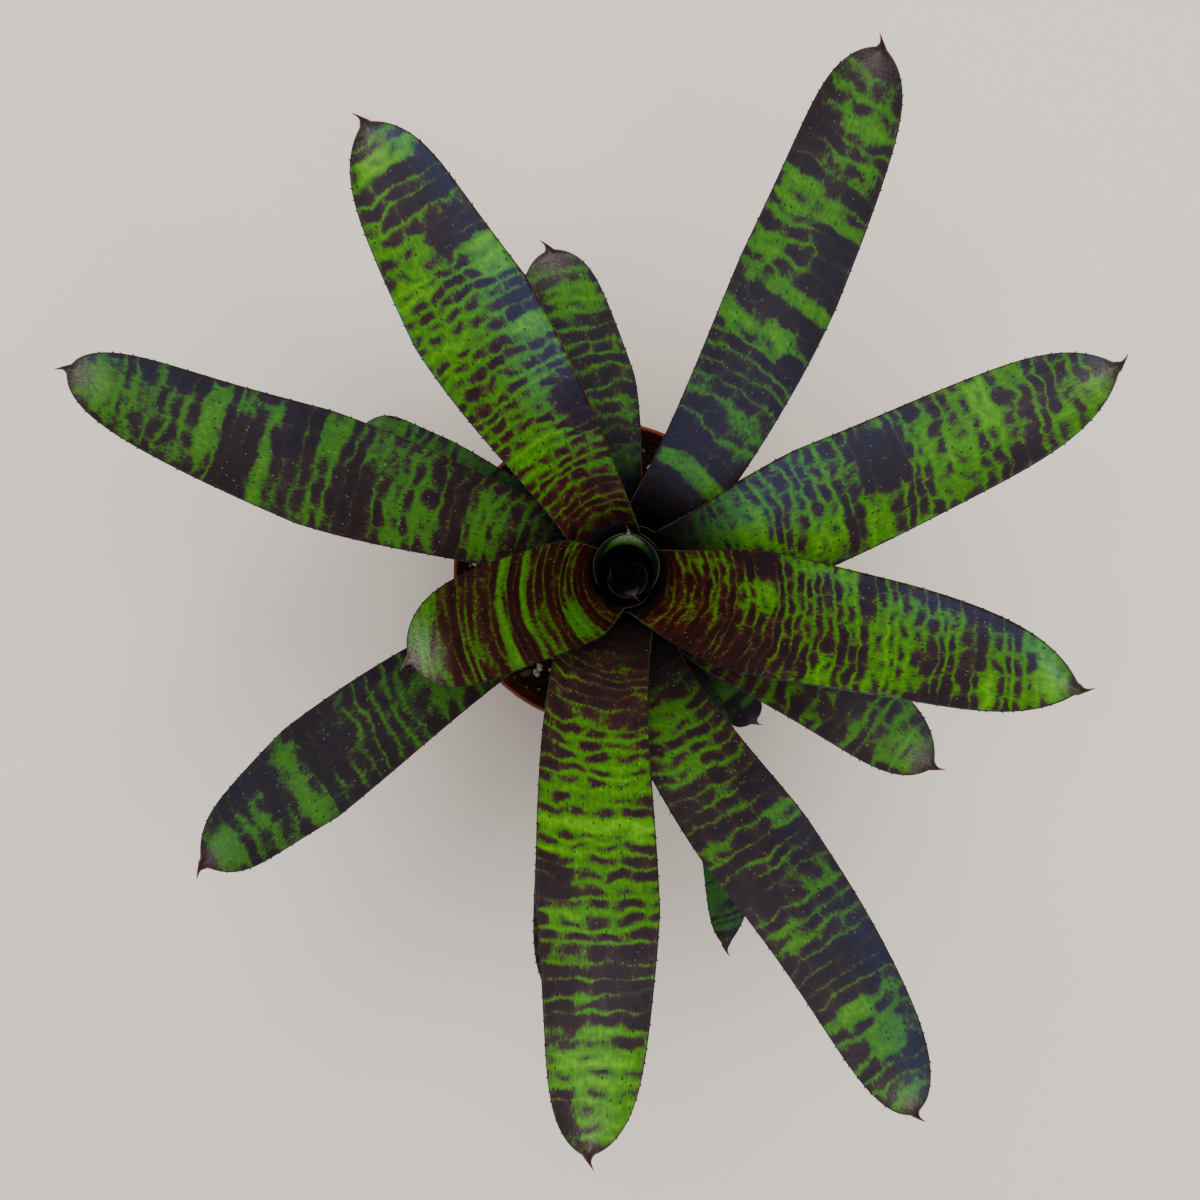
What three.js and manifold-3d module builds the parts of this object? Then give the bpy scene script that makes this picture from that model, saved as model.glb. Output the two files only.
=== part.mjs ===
// A zebra-banded neoregelia, a tank bromeliad, growing in a round plastic nursery pot.
// Sizes are millimetres, +Z is up, and the origin is the middle of the pot's flat underside.

import * as THREE from 'three';
import { mergeVertices } from 'three/addons/utils/BufferGeometryUtils.js';
import Module from 'manifold-3d';

const wasm = await Module();
wasm.setup();

const { degToRad, lerp, smoothstep } = THREE.MathUtils;

// ---------- Driving dimensions ----------

// Pot: a thin-walled 4-inch nursery pot with a turned-out band under its rim.
const POT_HEIGHT = 90;
const POT_RIM_RADIUS = 53;
const POT_FOOT_RADIUS = 38.5;
const POT_WALL = 1.4;
const POT_FLOOR = 1.6;
const POT_BAND_DEPTH = 12;
const POT_BAND_STEP = 1.8;
const POT_FACETS = 48;
const DRAIN_HOLES = 6;
const DRAIN_HOLE_RADIUS = 4.5;
const DRAIN_CIRCLE_RADIUS = 26;

// Potting mix: it fills the pot to a little below the rim and has a rough top.
const SOIL_TOP = 80;
const SOIL_ROUGHNESS = 0.9;
const SOIL_GAP = 0.3;
const SOIL_RINGS = [14, 21, 28, 35, 41.5, 47];

// Stem: a short stout caudex, set in a plain hole in the mix, that carries every leaf.
const STEM_FOOT = 50;
const STEM_TOP = 109;
const STEM_RADIUS = 8.5;
const STEM_TIP_RADIUS = 3.2;
const STEM_FACETS = 24;
const STEM_HOLE_GAP = 0.3;

// Rosette: its axis stands a little off the middle of the pot. The leaf bases sit one below
// the other on the stem, and the sheaths nest like bowls, each one step outside the last.
const ROSETTE_X = 6.4;
const ROSETTE_Y = -0.7;
const FIRST_BASE_HEIGHT = 106;
const BASE_STEP = 1.25;
const FIRST_SHELL_RADIUS = 8.1;
const SHELL_STEP = 1.5;
const BOWL_HEIGHT = 22;
const FIRST_THROAT_HEIGHT = 135.3;
const THROAT_STEP = 1.63;
const FLARE_RADIUS = 16;
const STEM_CLEARANCE = 0.8;

// Leaf: a leathery strap with a wide clasping sheath, spiny margins and a short sharp tip.
const LEAF_THICKNESS = 0.8;
const SHEATH_HALF_WIDTH = 27;
const MOST_WRAP = degToRad(150);
const CHANNEL_START = 28;
const CHANNEL_FULL = 75;
const RIPPLE_HEIGHT = 0.6;
const RIPPLE_LENGTH = 41;
const SPINE_PITCH = 9;
const SPINE_ROOT = 1.5;
const SPINE_REACH = 1.3;
const SPINE_LEAN = 2.2;
const TIP_LENGTH = 17;
const TIP_ROOT_HALF_WIDTH = 1.5;
const TIP_SPINE_LENGTH = 5.4;
const TIP_SPINE_LIFT = 1;
const TIP_SPINE_SWING = degToRad(24);

// How finely each leaf is faceted: the spacing of its rows, and the strips across it inside
// and outside the reach where it wraps round the axis.
const SHEATH_ROW = 6.5;
const FLARE_ROW = 4.5;
const WRAPPED_STRIPS = 10;
const BLADE_STRIPS = 4;
const WRAPPED_REACH = 24;
const TIP_ROW_SHARES = [0, 0.35, 0.62, 0.82, 0.94];
const BARE_TIP = 8;

// The leaves, youngest first. heading is the compass angle of the midrib at the throat,
// counter-clockwise from +X, drift what it swings on its way out, and sway how far it bows
// aside halfway, in degrees. reach is from the rosette's axis to the tip. width is the blade's
// greatest, at the share of its length that widest gives, and neck is the share of it left at
// the throat. taper narrows the blade from the widest place to the tip, whose end is round
// where point is 0.5 and more pointed above that. rise and droop are the slopes, in degrees,
// where the blade leaves the throat and at the tip. channel is how far the margins stand above
// the midrib, and twist turns the outer blade about the midrib. The sheath's shell radius, the
// throat's height and the base's height follow from the spiral unless a leaf gives its own.
const LEAVES = [
  {
    name: 'leaf_heart', heading: 292, drift: 0, sway: 0, reach: 8,
    width: 22, neck: 0.72, widest: 0.02, taper: 0.1, point: 0.9,
    rise: 87, droop: 66, channel: 0, twist: 0, shell: 4.8, throat: 124,
  },
  {
    name: 'leaf_tube', heading: 86, drift: 0, sway: 0, reach: 12.6,
    width: 46, neck: 0.72, widest: 0.02, taper: 0.55, point: 0.9,
    rise: 87, droop: 58, channel: 0, twist: 0, shell: 9.6, throat: 139,
  },
  {
    name: 'leaf_west', heading: 202.2, drift: 0, sway: -2.4, reach: 68.3,
    width: 36.7, neck: 0.72, widest: 0.29, taper: 0.13, point: 0.59,
    rise: 62, droop: 36, channel: 1.5, twist: 0,
  },
  {
    name: 'leaf_east', heading: 335.9, drift: 9, sway: 3.9, reach: 127.5,
    width: 39.6, neck: 0.69, widest: 0.35, taper: 0.33, point: 0.83,
    rise: 52, droop: 26, channel: 3, twist: 0,
  },
  {
    name: 'leaf_north_north_west', heading: 116.6, drift: 4.1, sway: 2.5, reach: 144.7,
    width: 38.8, neck: 0.6, widest: 0.64, taper: 0.39, point: 0.76,
    rise: 50, droop: 16, channel: 3, twist: -3.7,
  },
  {
    name: 'leaf_south', heading: 249.5, drift: 16.5, sway: 5.5, reach: 164.8,
    width: 36.7, neck: 0.84, widest: 0.62, taper: 0.35, point: 0.63,
    rise: 46, droop: 12, channel: 3, twist: -0.4,
  },
  {
    name: 'leaf_east_north_east', heading: 13.6, drift: 9, sway: 1.7, reach: 153.9,
    width: 38.2, neck: 0.63, widest: 0.41, taper: 0.26, point: 0.83,
    rise: 43, droop: 8, channel: 3, twist: -5,
  },
  {
    name: 'leaf_west_north_west', heading: 158.2, drift: 2, sway: 2.3, reach: 173.5,
    width: 35.8, neck: 0.6, widest: 0.58, taper: 0.39, point: 0.51,
    rise: 40, droop: 4, channel: 3, twist: 0,
  },
  {
    name: 'leaf_south_south_east', heading: 277.1, drift: 20.8, sway: 7.9, reach: 180.7,
    width: 36, neck: 0.64, widest: 0.5, taper: 0.32, point: 0.53,
    rise: 38, droop: 2, channel: 3, twist: 16.5,
  },
  {
    name: 'leaf_north_east', heading: 53.8, drift: 10.3, sway: 1.2, reach: 174.5,
    width: 33.5, neck: 0.77, widest: 0.58, taper: 0.21, point: 0.66,
    rise: 36, droop: 0, channel: 3, twist: -1.5,
  },
  {
    name: 'leaf_south_west', heading: 204.6, drift: 10, sway: 0.9, reach: 159.1,
    width: 31.9, neck: 0.63, widest: 0.72, taper: 0.38, point: 0.99,
    rise: 32, droop: -4, channel: 3, twist: 0,
  },
  {
    name: 'leaf_south_east', heading: 330, drift: -2.2, sway: 1.4, reach: 115,
    width: 30.2, neck: 0.79, widest: 0.29, taper: 0.14, point: 0.69,
    rise: 28, droop: -6, channel: 2.5, twist: 5,
  },
  {
    name: 'leaf_north', heading: 103.3, drift: 0, sway: -0.8, reach: 106.3,
    width: 33.6, neck: 0.7, widest: 0.53, taper: 0.34, point: 0.58,
    rise: 26, droop: -8, channel: 2.5, twist: 0,
  },
  {
    name: 'leaf_old_south', heading: 259.5, drift: 3, sway: 0, reach: 140.1,
    width: 31.9, neck: 0.72, widest: 0.5, taper: 0.23, point: 0.7,
    rise: 22, droop: -8, channel: 2.5, twist: 0,
  },
  {
    name: 'leaf_old_east', heading: 24.1, drift: -0.4, sway: -0.9, reach: 105,
    width: 29.9, neck: 0.73, widest: 0.55, taper: 0.22, point: 0.68,
    rise: 18, droop: -10, channel: 2.5, twist: -4.9,
  },
  {
    name: 'leaf_old_west', heading: 154, drift: 0, sway: 1, reach: 99.9,
    width: 30.8, neck: 0.72, widest: 0.65, taper: 0.1, point: 0.72,
    rise: 15, droop: -12, channel: 2, twist: 0,
  },
  {
    name: 'leaf_old_south_east', heading: 300, drift: -14.7, sway: 1, reach: 126.9,
    width: 20.8, neck: 0.75, widest: 0.39, taper: 0.27, point: 0.78,
    rise: 12, droop: -14, channel: 1.5, twist: 0,
  },
  {
    name: 'leaf_oldest', heading: 309.3, drift: 2, sway: 0.6, reach: 65.4,
    width: 14, neck: 0.73, widest: 0.4, taper: 0.02, point: 0.5,
    rise: 8, droop: -46, channel: 1, twist: 0, base: 84.1,
  },
];

// ---------- Materials ----------

function matt(name, color, roughness) {
  const material = new THREE.MeshStandardMaterial({ color, roughness, metalness: 0 });
  material.name = name;
  return material;
}

const LEAF_COLORS = { young: 0x5f9a1c, grown: 0x3f6f1a, old: 0x2f5224 };

function leafMaterial(order) {
  if (order < 5) return matt('young_leaf', LEAF_COLORS.young, 0.42);
  if (order < 11) return matt('grown_leaf', LEAF_COLORS.grown, 0.45);
  return matt('old_leaf', LEAF_COLORS.old, 0.5);
}

// ---------- Closed meshes and solids ----------

class MeshBuilder {
  constructor() {
    this.positions = [];
    this.indices = [];
  }

  vertex(point) {
    this.positions.push(point.x, point.y, point.z);
    return this.positions.length / 3 - 1;
  }

  triangle(a, b, c) {
    this.indices.push(a, b, c);
  }

  quad(a, b, c, d) {
    this.triangle(a, b, c);
    this.triangle(a, c, d);
  }

  spike(a, b, c, d, tip) {
    this.triangle(a, b, tip);
    this.triangle(b, c, tip);
    this.triangle(c, d, tip);
    this.triangle(d, a, tip);
  }

  geometry() {
    const geometry = new THREE.BufferGeometry();
    geometry.setAttribute('position', new THREE.Float32BufferAttribute(this.positions, 3));
    geometry.setIndex(this.indices);
    geometry.computeVertexNormals();
    return geometry;
  }
}

// Turns a closed geometry into a solid. Triangles that shrink to a line at a pole are dropped.
function solidFrom(geometry) {
  const bare = geometry.clone();
  bare.deleteAttribute('normal');
  bare.deleteAttribute('uv');
  const merged = mergeVertices(bare, 1e-4);
  const index = merged.index.array;
  const triangles = [];
  for (let i = 0; i < index.length; i += 3) {
    const [a, b, c] = [index[i], index[i + 1], index[i + 2]];
    if (a !== b && b !== c && c !== a) triangles.push(a, b, c);
  }
  return new wasm.Manifold(new wasm.Mesh({
    numProp: 3,
    vertProperties: new Float32Array(merged.attributes.position.array),
    triVerts: new Uint32Array(triangles),
  }));
}

function geometryFrom(solid) {
  const mesh = solid.getMesh();
  const geometry = new THREE.BufferGeometry();
  geometry.setAttribute('position', new THREE.Float32BufferAttribute(mesh.vertProperties, 3));
  geometry.setIndex([...mesh.triVerts]);
  geometry.computeVertexNormals();
  return geometry;
}

// A solid of revolution about +Z from [radius, height] pairs, listed up the outside.
function turned(profile, facets) {
  const points = profile.map(([radius, height]) => new THREE.Vector2(radius, height));
  return new THREE.LatheGeometry(points, facets).rotateX(Math.PI / 2);
}

function upright(radius, bottom, top, facets) {
  const geometry = new THREE.CylinderGeometry(radius, radius, top - bottom, facets);
  geometry.rotateX(Math.PI / 2);
  return geometry.translate(0, 0, (bottom + top) / 2);
}

// ---------- Pot ----------

const BAND_FOOT = POT_HEIGHT - POT_BAND_DEPTH;
const POT_BODY_RADIUS = POT_RIM_RADIUS - POT_BAND_STEP;

// The radius of the body's outside at a height, below the band.
function potBodyRadius(height) {
  return lerp(POT_FOOT_RADIUS, POT_BODY_RADIUS, height / BAND_FOOT);
}

function potGeometry() {
  const footEdge = 2;
  const lip = 0.4;
  const body = solidFrom(turned([
    [0, 0],
    [POT_FOOT_RADIUS - footEdge, 0],
    [potBodyRadius(footEdge), footEdge],
    [POT_BODY_RADIUS, BAND_FOOT],
    [POT_RIM_RADIUS - 0.5, BAND_FOOT + 0.5],
    [POT_RIM_RADIUS, POT_HEIGHT - lip],
    [POT_RIM_RADIUS - lip, POT_HEIGHT],
    [POT_RIM_RADIUS - POT_WALL, POT_HEIGHT],
    [POT_RIM_RADIUS - POT_WALL - 0.4, BAND_FOOT + POT_WALL],
    [POT_BODY_RADIUS - POT_WALL, BAND_FOOT],
    [potBodyRadius(POT_FLOOR) - POT_WALL, POT_FLOOR + 1],
    [potBodyRadius(POT_FLOOR) - POT_WALL - 1, POT_FLOOR],
    [0, POT_FLOOR],
  ], POT_FACETS));
  return geometryFrom(drainHoles().reduce((solid, hole) => solid.subtract(hole), body));
}

function drainHoles() {
  const holes = [];
  for (let i = 0; i < DRAIN_HOLES; i += 1) {
    const angle = (i / DRAIN_HOLES) * 2 * Math.PI;
    const hole = upright(DRAIN_HOLE_RADIUS, -1, POT_FLOOR + 1, 12);
    const [x, y] = [Math.cos(angle), Math.sin(angle)];
    holes.push(solidFrom(hole.translate(x * DRAIN_CIRCLE_RADIUS, y * DRAIN_CIRCLE_RADIUS, 0)));
  }
  return holes;
}

// ---------- Potting mix ----------

// Lumps of bark and perlite give the top a rough surface.
function soilRelief(x, y) {
  const coarse = Math.sin(0.63 * x + 1.1) * Math.cos(0.71 * y - 0.4);
  const fine = Math.sin(1.9 * x - 0.8 * y) * Math.cos(1.3 * y + 0.9 * x);
  return SOIL_ROUGHNESS * (0.6 * coarse + 0.4 * fine);
}

function soilGeometry() {
  const inside = POT_WALL + SOIL_GAP;
  const floor = POT_FLOOR + SOIL_GAP;
  const edge = potBodyRadius(BAND_FOOT) - inside;
  const rings = SOIL_RINGS.map((radius) => [radius, SOIL_TOP]).reverse();
  const geometry = turned([
    [0, floor],
    [potBodyRadius(floor) - inside - 1.5, floor],
    [potBodyRadius(floor) - inside - 0.2, floor + 1.5],
    [edge - 0.2, BAND_FOOT - 1],
    [edge - 0.4, SOIL_TOP - 0.8],
    ...rings,
    [0, SOIL_TOP],
  ], POT_FACETS);
  const position = geometry.attributes.position;
  for (let i = 0; i < position.count; i += 1) {
    const isTop = position.getZ(i) > SOIL_TOP - 0.5;
    if (isTop) position.setZ(i, SOIL_TOP + soilRelief(position.getX(i), position.getY(i)));
  }
  const hole = upright(STEM_RADIUS + STEM_HOLE_GAP, STEM_FOOT - STEM_HOLE_GAP, SOIL_TOP + 5,
    STEM_FACETS).translate(ROSETTE_X, ROSETTE_Y, 0);
  return geometryFrom(solidFrom(geometry).subtract(solidFrom(hole)));
}

// ---------- Stem ----------

const STEM_SHOULDER = 86;

// The stem is straight in the mix and narrows to a blunt tip inside the rosette.
function stemRadius(height) {
  const share = smoothstep(height, STEM_SHOULDER, STEM_TOP);
  return lerp(STEM_RADIUS, STEM_TIP_RADIUS, share);
}

function stemGeometry() {
  const steps = 6;
  const profile = [[0, STEM_FOOT], [STEM_RADIUS, STEM_FOOT]];
  for (let i = 0; i <= steps; i += 1) {
    const height = lerp(STEM_SHOULDER, STEM_TOP - 1, i / steps);
    profile.push([stemRadius(height), height]);
  }
  profile.push([0, STEM_TOP]);
  const geometry = turned(profile, STEM_FACETS).translate(ROSETTE_X, ROSETTE_Y, 0);
  return geometryFrom(solidFrom(geometry));
}

// ---------- Leaves ----------

function arcOver(x, z, radius, from, to) {
  return new THREE.EllipseCurve(x, z, radius, radius, from, to, true);
}

// The midrib's line from stem to tip, as (distance from the axis, height): round the bottom
// of the bowl, straight up the sheath, out through the flare, and along the arched blade.
function midribPath(leaf) {
  const rise = degToRad(leaf.rise);
  const droop = degToRad(leaf.droop);
  const start = stemRadius(leaf.base) + STEM_CLEARANCE;
  const belly = leaf.base + BOWL_HEIGHT;
  const quarter = Math.PI / 2;
  const flareX = leaf.shell + FLARE_RADIUS;
  const bladeX = flareX - FLARE_RADIUS * Math.sin(rise);
  const bladeZ = leaf.throat + FLARE_RADIUS * Math.cos(rise);
  const bend = (leaf.reach - bladeX) / (Math.sin(rise) - Math.sin(droop));
  const bendX = bladeX + bend * Math.sin(rise);
  const bendZ = bladeZ - bend * Math.cos(rise);
  const path = new THREE.CurvePath();
  path.add(new THREE.EllipseCurve(start, belly, leaf.shell - start, BOWL_HEIGHT, -quarter, 0));
  path.add(new THREE.LineCurve(
    new THREE.Vector2(leaf.shell, belly),
    new THREE.Vector2(leaf.shell, leaf.throat),
  ));
  path.add(arcOver(flareX, leaf.throat, FLARE_RADIUS, Math.PI, quarter + rise));
  path.add(arcOver(bendX, bendZ, bend, quarter + rise, quarter + droop));
  return path;
}

// Adds what follows from a leaf's place in the spiral and from its own sizes.
function grow(sizes, order) {
  const leaf = {
    base: FIRST_BASE_HEIGHT - BASE_STEP * order,
    shell: FIRST_SHELL_RADIUS + SHELL_STEP * order,
    throat: FIRST_THROAT_HEIGHT - THROAT_STEP * order,
    order,
    ...sizes,
  };
  leaf.path = midribPath(leaf);
  [, leaf.sheathLength, leaf.flareLength, leaf.length] = leaf.path.getCurveLengths();
  return leaf;
}

function bladeShare(leaf, along) {
  return Math.max(0, (along - leaf.sheathLength) / (leaf.length - leaf.sheathLength));
}

function halfWidth(leaf, along) {
  const widest = leaf.width / 2;
  const neck = widest * leaf.neck;
  if (along < leaf.sheathLength) {
    return lerp(SHEATH_HALF_WIDTH, neck, smoothstep(along / leaf.sheathLength, 0.3, 1));
  }
  const share = bladeShare(leaf, along);
  if (share < leaf.widest) return lerp(neck, widest, smoothstep(share, 0, leaf.widest));
  const left = Math.min(1, (share - leaf.widest) / (1 - leaf.widest));
  const round = widest * (1 - leaf.taper * left) * (1 - left ** 8) ** leaf.point;
  return Math.max(round, TIP_ROOT_HALF_WIDTH);
}

// A point on the leaf's middle surface. side runs from -1 at one margin to 1 at the other.
function leafPoint(leaf, along, side) {
  const spot = leaf.path.getPoint(Math.min(along / leaf.length, 1));
  const share = bladeShare(leaf, along);
  const width = halfWidth(leaf, along);
  const wrap = width / spot.x;
  const held = wrap / (1 + (wrap / MOST_WRAP) ** 4) ** 0.25;
  const open = smoothstep(spot.x, CHANNEL_START, CHANNEL_FULL);
  const turn = degToRad(leaf.twist) * open * side;
  const swing = leaf.drift * share + leaf.sway * Math.sin(Math.PI * share);
  const heading = degToRad(leaf.heading + swing);
  const angle = heading + held * side * Math.cos(turn);
  const wave = (2 * Math.PI * along) / RIPPLE_LENGTH + 2 * leaf.order;
  const ripple = RIPPLE_HEIGHT * Math.sin(wave);
  const lift = leaf.channel * side * side + width * Math.sin(turn) + ripple * side;
  return new THREE.Vector3(
    ROSETTE_X + spot.x * Math.cos(angle),
    ROSETTE_Y + spot.x * Math.sin(angle),
    spot.y + lift * open,
  );
}

function leafNormal(leaf, along, side) {
  const step = 0.4;
  const from = Math.max(along - step, 0);
  const to = Math.min(along + step, leaf.length);
  const outward = leafPoint(leaf, to, side).sub(leafPoint(leaf, from, side));
  const across = leafPoint(leaf, along, side + 0.02).sub(leafPoint(leaf, along, side - 0.02));
  return outward.cross(across).normalize();
}

// The upper and the lower vertex of one place on the leaf.
function leafPair(mesh, leaf, along, side) {
  const point = leafPoint(leaf, along, side);
  const half = leafNormal(leaf, along, side).multiplyScalar(LEAF_THICKNESS / 2);
  return {
    side,
    top: mesh.vertex(point.clone().add(half)),
    bottom: mesh.vertex(point.clone().sub(half)),
  };
}

function leafRow(mesh, leaf, along, strips) {
  const row = [];
  for (let i = 0; i <= strips; i += 1) {
    row.push(leafPair(mesh, leaf, along, (2 * i) / strips - 1));
  }
  return row;
}

// Skins the gap between two rows on both faces alike, where their counts may differ.
function zip(mesh, near, far) {
  let i = 0;
  let j = 0;
  while (i < near.length - 1 || j < far.length - 1) {
    const a = near[i];
    const b = far[j];
    const nearFirst = j === far.length - 1
      || (i < near.length - 1 && near[i + 1].side <= far[j + 1].side);
    const c = nearFirst ? near[i + 1] : far[j + 1];
    mesh.triangle(a.top, b.top, c.top);
    mesh.triangle(a.bottom, c.bottom, b.bottom);
    if (nearFirst) i += 1;
    else j += 1;
  }
}

// A spine's tip, leaning towards the leaf's tip from a root on the margin.
function spineTip(leaf, along, side) {
  const root = leafPoint(leaf, along + SPINE_ROOT / 2, side);
  const inner = leafPoint(leaf, along + SPINE_ROOT / 2, side * 0.9);
  const ahead = leafPoint(leaf, along + SPINE_ROOT, side).sub(leafPoint(leaf, along, side));
  const out = root.clone().sub(inner).normalize().multiplyScalar(SPINE_REACH);
  return root.add(out).add(ahead.normalize().multiplyScalar(SPINE_LEAN - SPINE_ROOT / 2));
}

// One stretch of margin with a spine at its start, between two rows of the blade.
function spinyMargin(mesh, leaf, near, far, along, side) {
  const root = leafPair(mesh, leaf, along + SPINE_ROOT, side);
  const tip = mesh.vertex(spineTip(leaf, along, side));
  if (side < 0) {
    const [a, b, c, d] = [near[0], near[1], far[1], far[0]];
    fan(mesh, root, [a, b, c, d], false);
    mesh.spike(a.top, a.bottom, root.bottom, root.top, tip);
    mesh.quad(root.top, root.bottom, d.bottom, d.top);
  } else {
    const [a, b, c, d] = [near.at(-1), near.at(-2), far.at(-2), far.at(-1)];
    fan(mesh, root, [a, b, c, d], true);
    mesh.spike(a.bottom, a.top, root.top, root.bottom, tip);
    mesh.quad(root.bottom, root.top, d.top, d.bottom);
  }
}

function fan(mesh, hub, loop, clockwise) {
  for (let i = 0; i < loop.length - 1; i += 1) {
    const [p, q] = clockwise ? [loop[i], loop[i + 1]] : [loop[i + 1], loop[i]];
    mesh.triangle(hub.top, p.top, q.top);
    mesh.triangle(hub.bottom, q.bottom, p.bottom);
  }
}

function plainMargins(mesh, near, far) {
  const [a, b] = [near[0], far[0]];
  mesh.quad(a.top, a.bottom, b.bottom, b.top);
  const [c, d] = [near.at(-1), far.at(-1)];
  mesh.quad(c.bottom, c.top, d.top, d.bottom);
}

// The places along the leaf that get a row: close together where it bends or rounds off.
function rowPlaces(leaf) {
  const places = [];
  const spread = (from, to, pitch) => {
    const count = Math.ceil((to - from) / pitch - 0.2);
    for (let i = 0; i < count; i += 1) places.push(from + ((to - from) * i) / count);
  };
  const tipStart = Math.max(leaf.length - TIP_LENGTH, leaf.flareLength);
  spread(0, leaf.sheathLength, SHEATH_ROW);
  spread(leaf.sheathLength, leaf.flareLength, FLARE_ROW);
  spread(leaf.flareLength, tipStart, SPINE_PITCH);
  const tipRows = TIP_ROW_SHARES.map((share) => lerp(tipStart, leaf.length, share));
  return [...places, ...tipRows, leaf.length];
}

function stripCount(leaf, along) {
  if (along >= leaf.length) return 2;
  const reach = leaf.path.getPoint(along / leaf.length).x;
  return reach < WRAPPED_REACH ? WRAPPED_STRIPS : BLADE_STRIPS;
}

// The cut edge of the sheath, which clasps the stem.
function baseEdge(mesh, row) {
  for (let i = 0; i < row.length - 1; i += 1) {
    mesh.quad(row[i].top, row[i + 1].top, row[i + 1].bottom, row[i].bottom);
  }
}

function leafGeometry(leaf) {
  const mesh = new MeshBuilder();
  const places = rowPlaces(leaf);
  const rows = places.map((along) => leafRow(mesh, leaf, along, stripCount(leaf, along)));
  baseEdge(mesh, rows[0]);
  for (let k = 0; k < rows.length - 1; k += 1) {
    const [near, far] = [rows[k], rows[k + 1]];
    const spiny = places[k] >= leaf.flareLength && places[k] < leaf.length - BARE_TIP;
    if (spiny) {
      zip(mesh, near.slice(1, -1), far.slice(1, -1));
      spinyMargin(mesh, leaf, near, far, places[k], -1);
      spinyMargin(mesh, leaf, near, far, places[k], 1);
    } else {
      zip(mesh, near, far);
      plainMargins(mesh, near, far);
    }
  }
  tipSpine(mesh, leaf, rows.at(-1));
  return mesh.geometry();
}

// The blade ends in one sharp spine, which turns a little aside from the midrib's line.
function tipSpine(mesh, leaf, row) {
  const end = leafPoint(leaf, leaf.length, 0);
  const ahead = end.clone().sub(leafPoint(leaf, leaf.length - 1, 0)).normalize();
  ahead.applyAxisAngle(new THREE.Vector3(0, 0, 1), TIP_SPINE_SWING);
  end.add(ahead.multiplyScalar(TIP_SPINE_LENGTH));
  end.z += TIP_SPINE_LIFT;
  const tip = mesh.vertex(end);
  for (let i = 0; i < row.length - 1; i += 1) {
    mesh.triangle(row[i].top, tip, row[i + 1].top);
    mesh.triangle(row[i].bottom, row[i + 1].bottom, tip);
  }
  mesh.triangle(row[0].top, row[0].bottom, tip);
  mesh.triangle(row.at(-1).bottom, row.at(-1).top, tip);
}

// ---------- Assembly ----------

const plant = new THREE.Group();

function add(name, geometry, material) {
  const mesh = new THREE.Mesh(geometry, material);
  mesh.name = name;
  plant.add(mesh);
}

add('pot', potGeometry(), matt('pot_plastic', 0xa4492c, 0.5));
add('potting_mix', soilGeometry(), matt('potting_mix', 0x2a211a, 0.95));
add('stem', stemGeometry(), matt('stem', 0x6b5a3a, 0.85));
LEAVES.map(grow).forEach((leaf) => {
  add(leaf.name, leafGeometry(leaf), leafMaterial(leaf.order));
});

export default plant;
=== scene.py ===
# A zebra-banded neoregelia, a tank bromeliad, in a round plastic nursery pot.
# Sizes in the sections are millimetres, and meshes are made in metres, +Z up.
import math
import random
from functools import partial

import bmesh
import bpy
import numpy as np
from mathutils import Euler, Matrix, Vector, noise


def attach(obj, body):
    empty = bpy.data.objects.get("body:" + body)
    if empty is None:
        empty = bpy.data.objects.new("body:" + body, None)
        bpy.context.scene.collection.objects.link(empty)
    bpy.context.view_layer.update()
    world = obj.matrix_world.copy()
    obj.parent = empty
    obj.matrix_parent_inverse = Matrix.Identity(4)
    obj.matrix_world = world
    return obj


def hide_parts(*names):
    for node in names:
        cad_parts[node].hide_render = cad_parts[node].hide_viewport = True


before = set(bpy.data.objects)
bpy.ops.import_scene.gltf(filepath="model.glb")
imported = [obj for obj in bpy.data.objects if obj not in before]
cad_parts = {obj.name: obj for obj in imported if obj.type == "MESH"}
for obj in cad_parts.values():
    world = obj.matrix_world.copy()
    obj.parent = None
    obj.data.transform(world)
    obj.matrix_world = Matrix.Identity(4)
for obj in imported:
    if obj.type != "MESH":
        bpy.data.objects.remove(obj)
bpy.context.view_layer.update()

# ---------- Pot ----------
# A thin-walled nursery pot of terracotta-coloured polypropylene, injection moulded in one shot.
# A deeper band runs round under the rim, and six round holes in the flat floor drain it.

MM = 0.001
POT_HEIGHT = 90
POT_RIM_RADIUS = 53
POT_FOOT_RADIUS = 38.5
POT_FOOT_ROUNDING = 1.6
POT_FOOT_RING = 30
POT_FLOOR_LIFT = 0.5
POT_WALL = 1.4
POT_FLOOR = 1.6
POT_BAND_FOOT = 78
POT_BODY_RADIUS = 51.2
POT_LIP = 0.7
POT_STEPS = 144
DRAIN_HOLES = 6
DRAIN_HOLE_RADIUS = 4.5
DRAIN_CIRCLE_RADIUS = 26
DRAIN_DRILL_LENGTH = 6


def linear(hex_color):
    """An sRGB hex colour as the linear RGBA that shaders take."""
    parts = [int(hex_color[i:i + 2], 16) / 255 for i in (1, 3, 5)]
    return (*[c / 12.92 if c <= 0.04045 else ((c + 0.055) / 1.055) ** 2.4 for c in parts], 1)


def set_inputs(node, inputs):
    """Gives a node's sockets, by name or number, their values or links."""
    for key, value in inputs.items():
        if isinstance(value, bpy.types.NodeSocket):
            node.id_data.links.new(value, node.inputs[key])
        else:
            node.inputs[key].default_value = value


def add_node(tree, kind, inputs=None, out=0, **settings):
    """Adds one node and returns its output out, or the node itself where out is None.

    By number, a Map Range has its value at 0, the range it maps from at 1 and 2 and the range
    it maps to at 3 and 4, and a colour Mix has its share at 0 and its colours at 6 and 7.
    """
    made = tree.nodes.new("ShaderNode" + kind)
    for name, value in settings.items():
        setattr(made, name, value)
    set_inputs(made, inputs or {})
    return made if out is None else made.outputs[out]


COLOR_MIX = {"out": 2, "data_type": "RGBA"}


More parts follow.
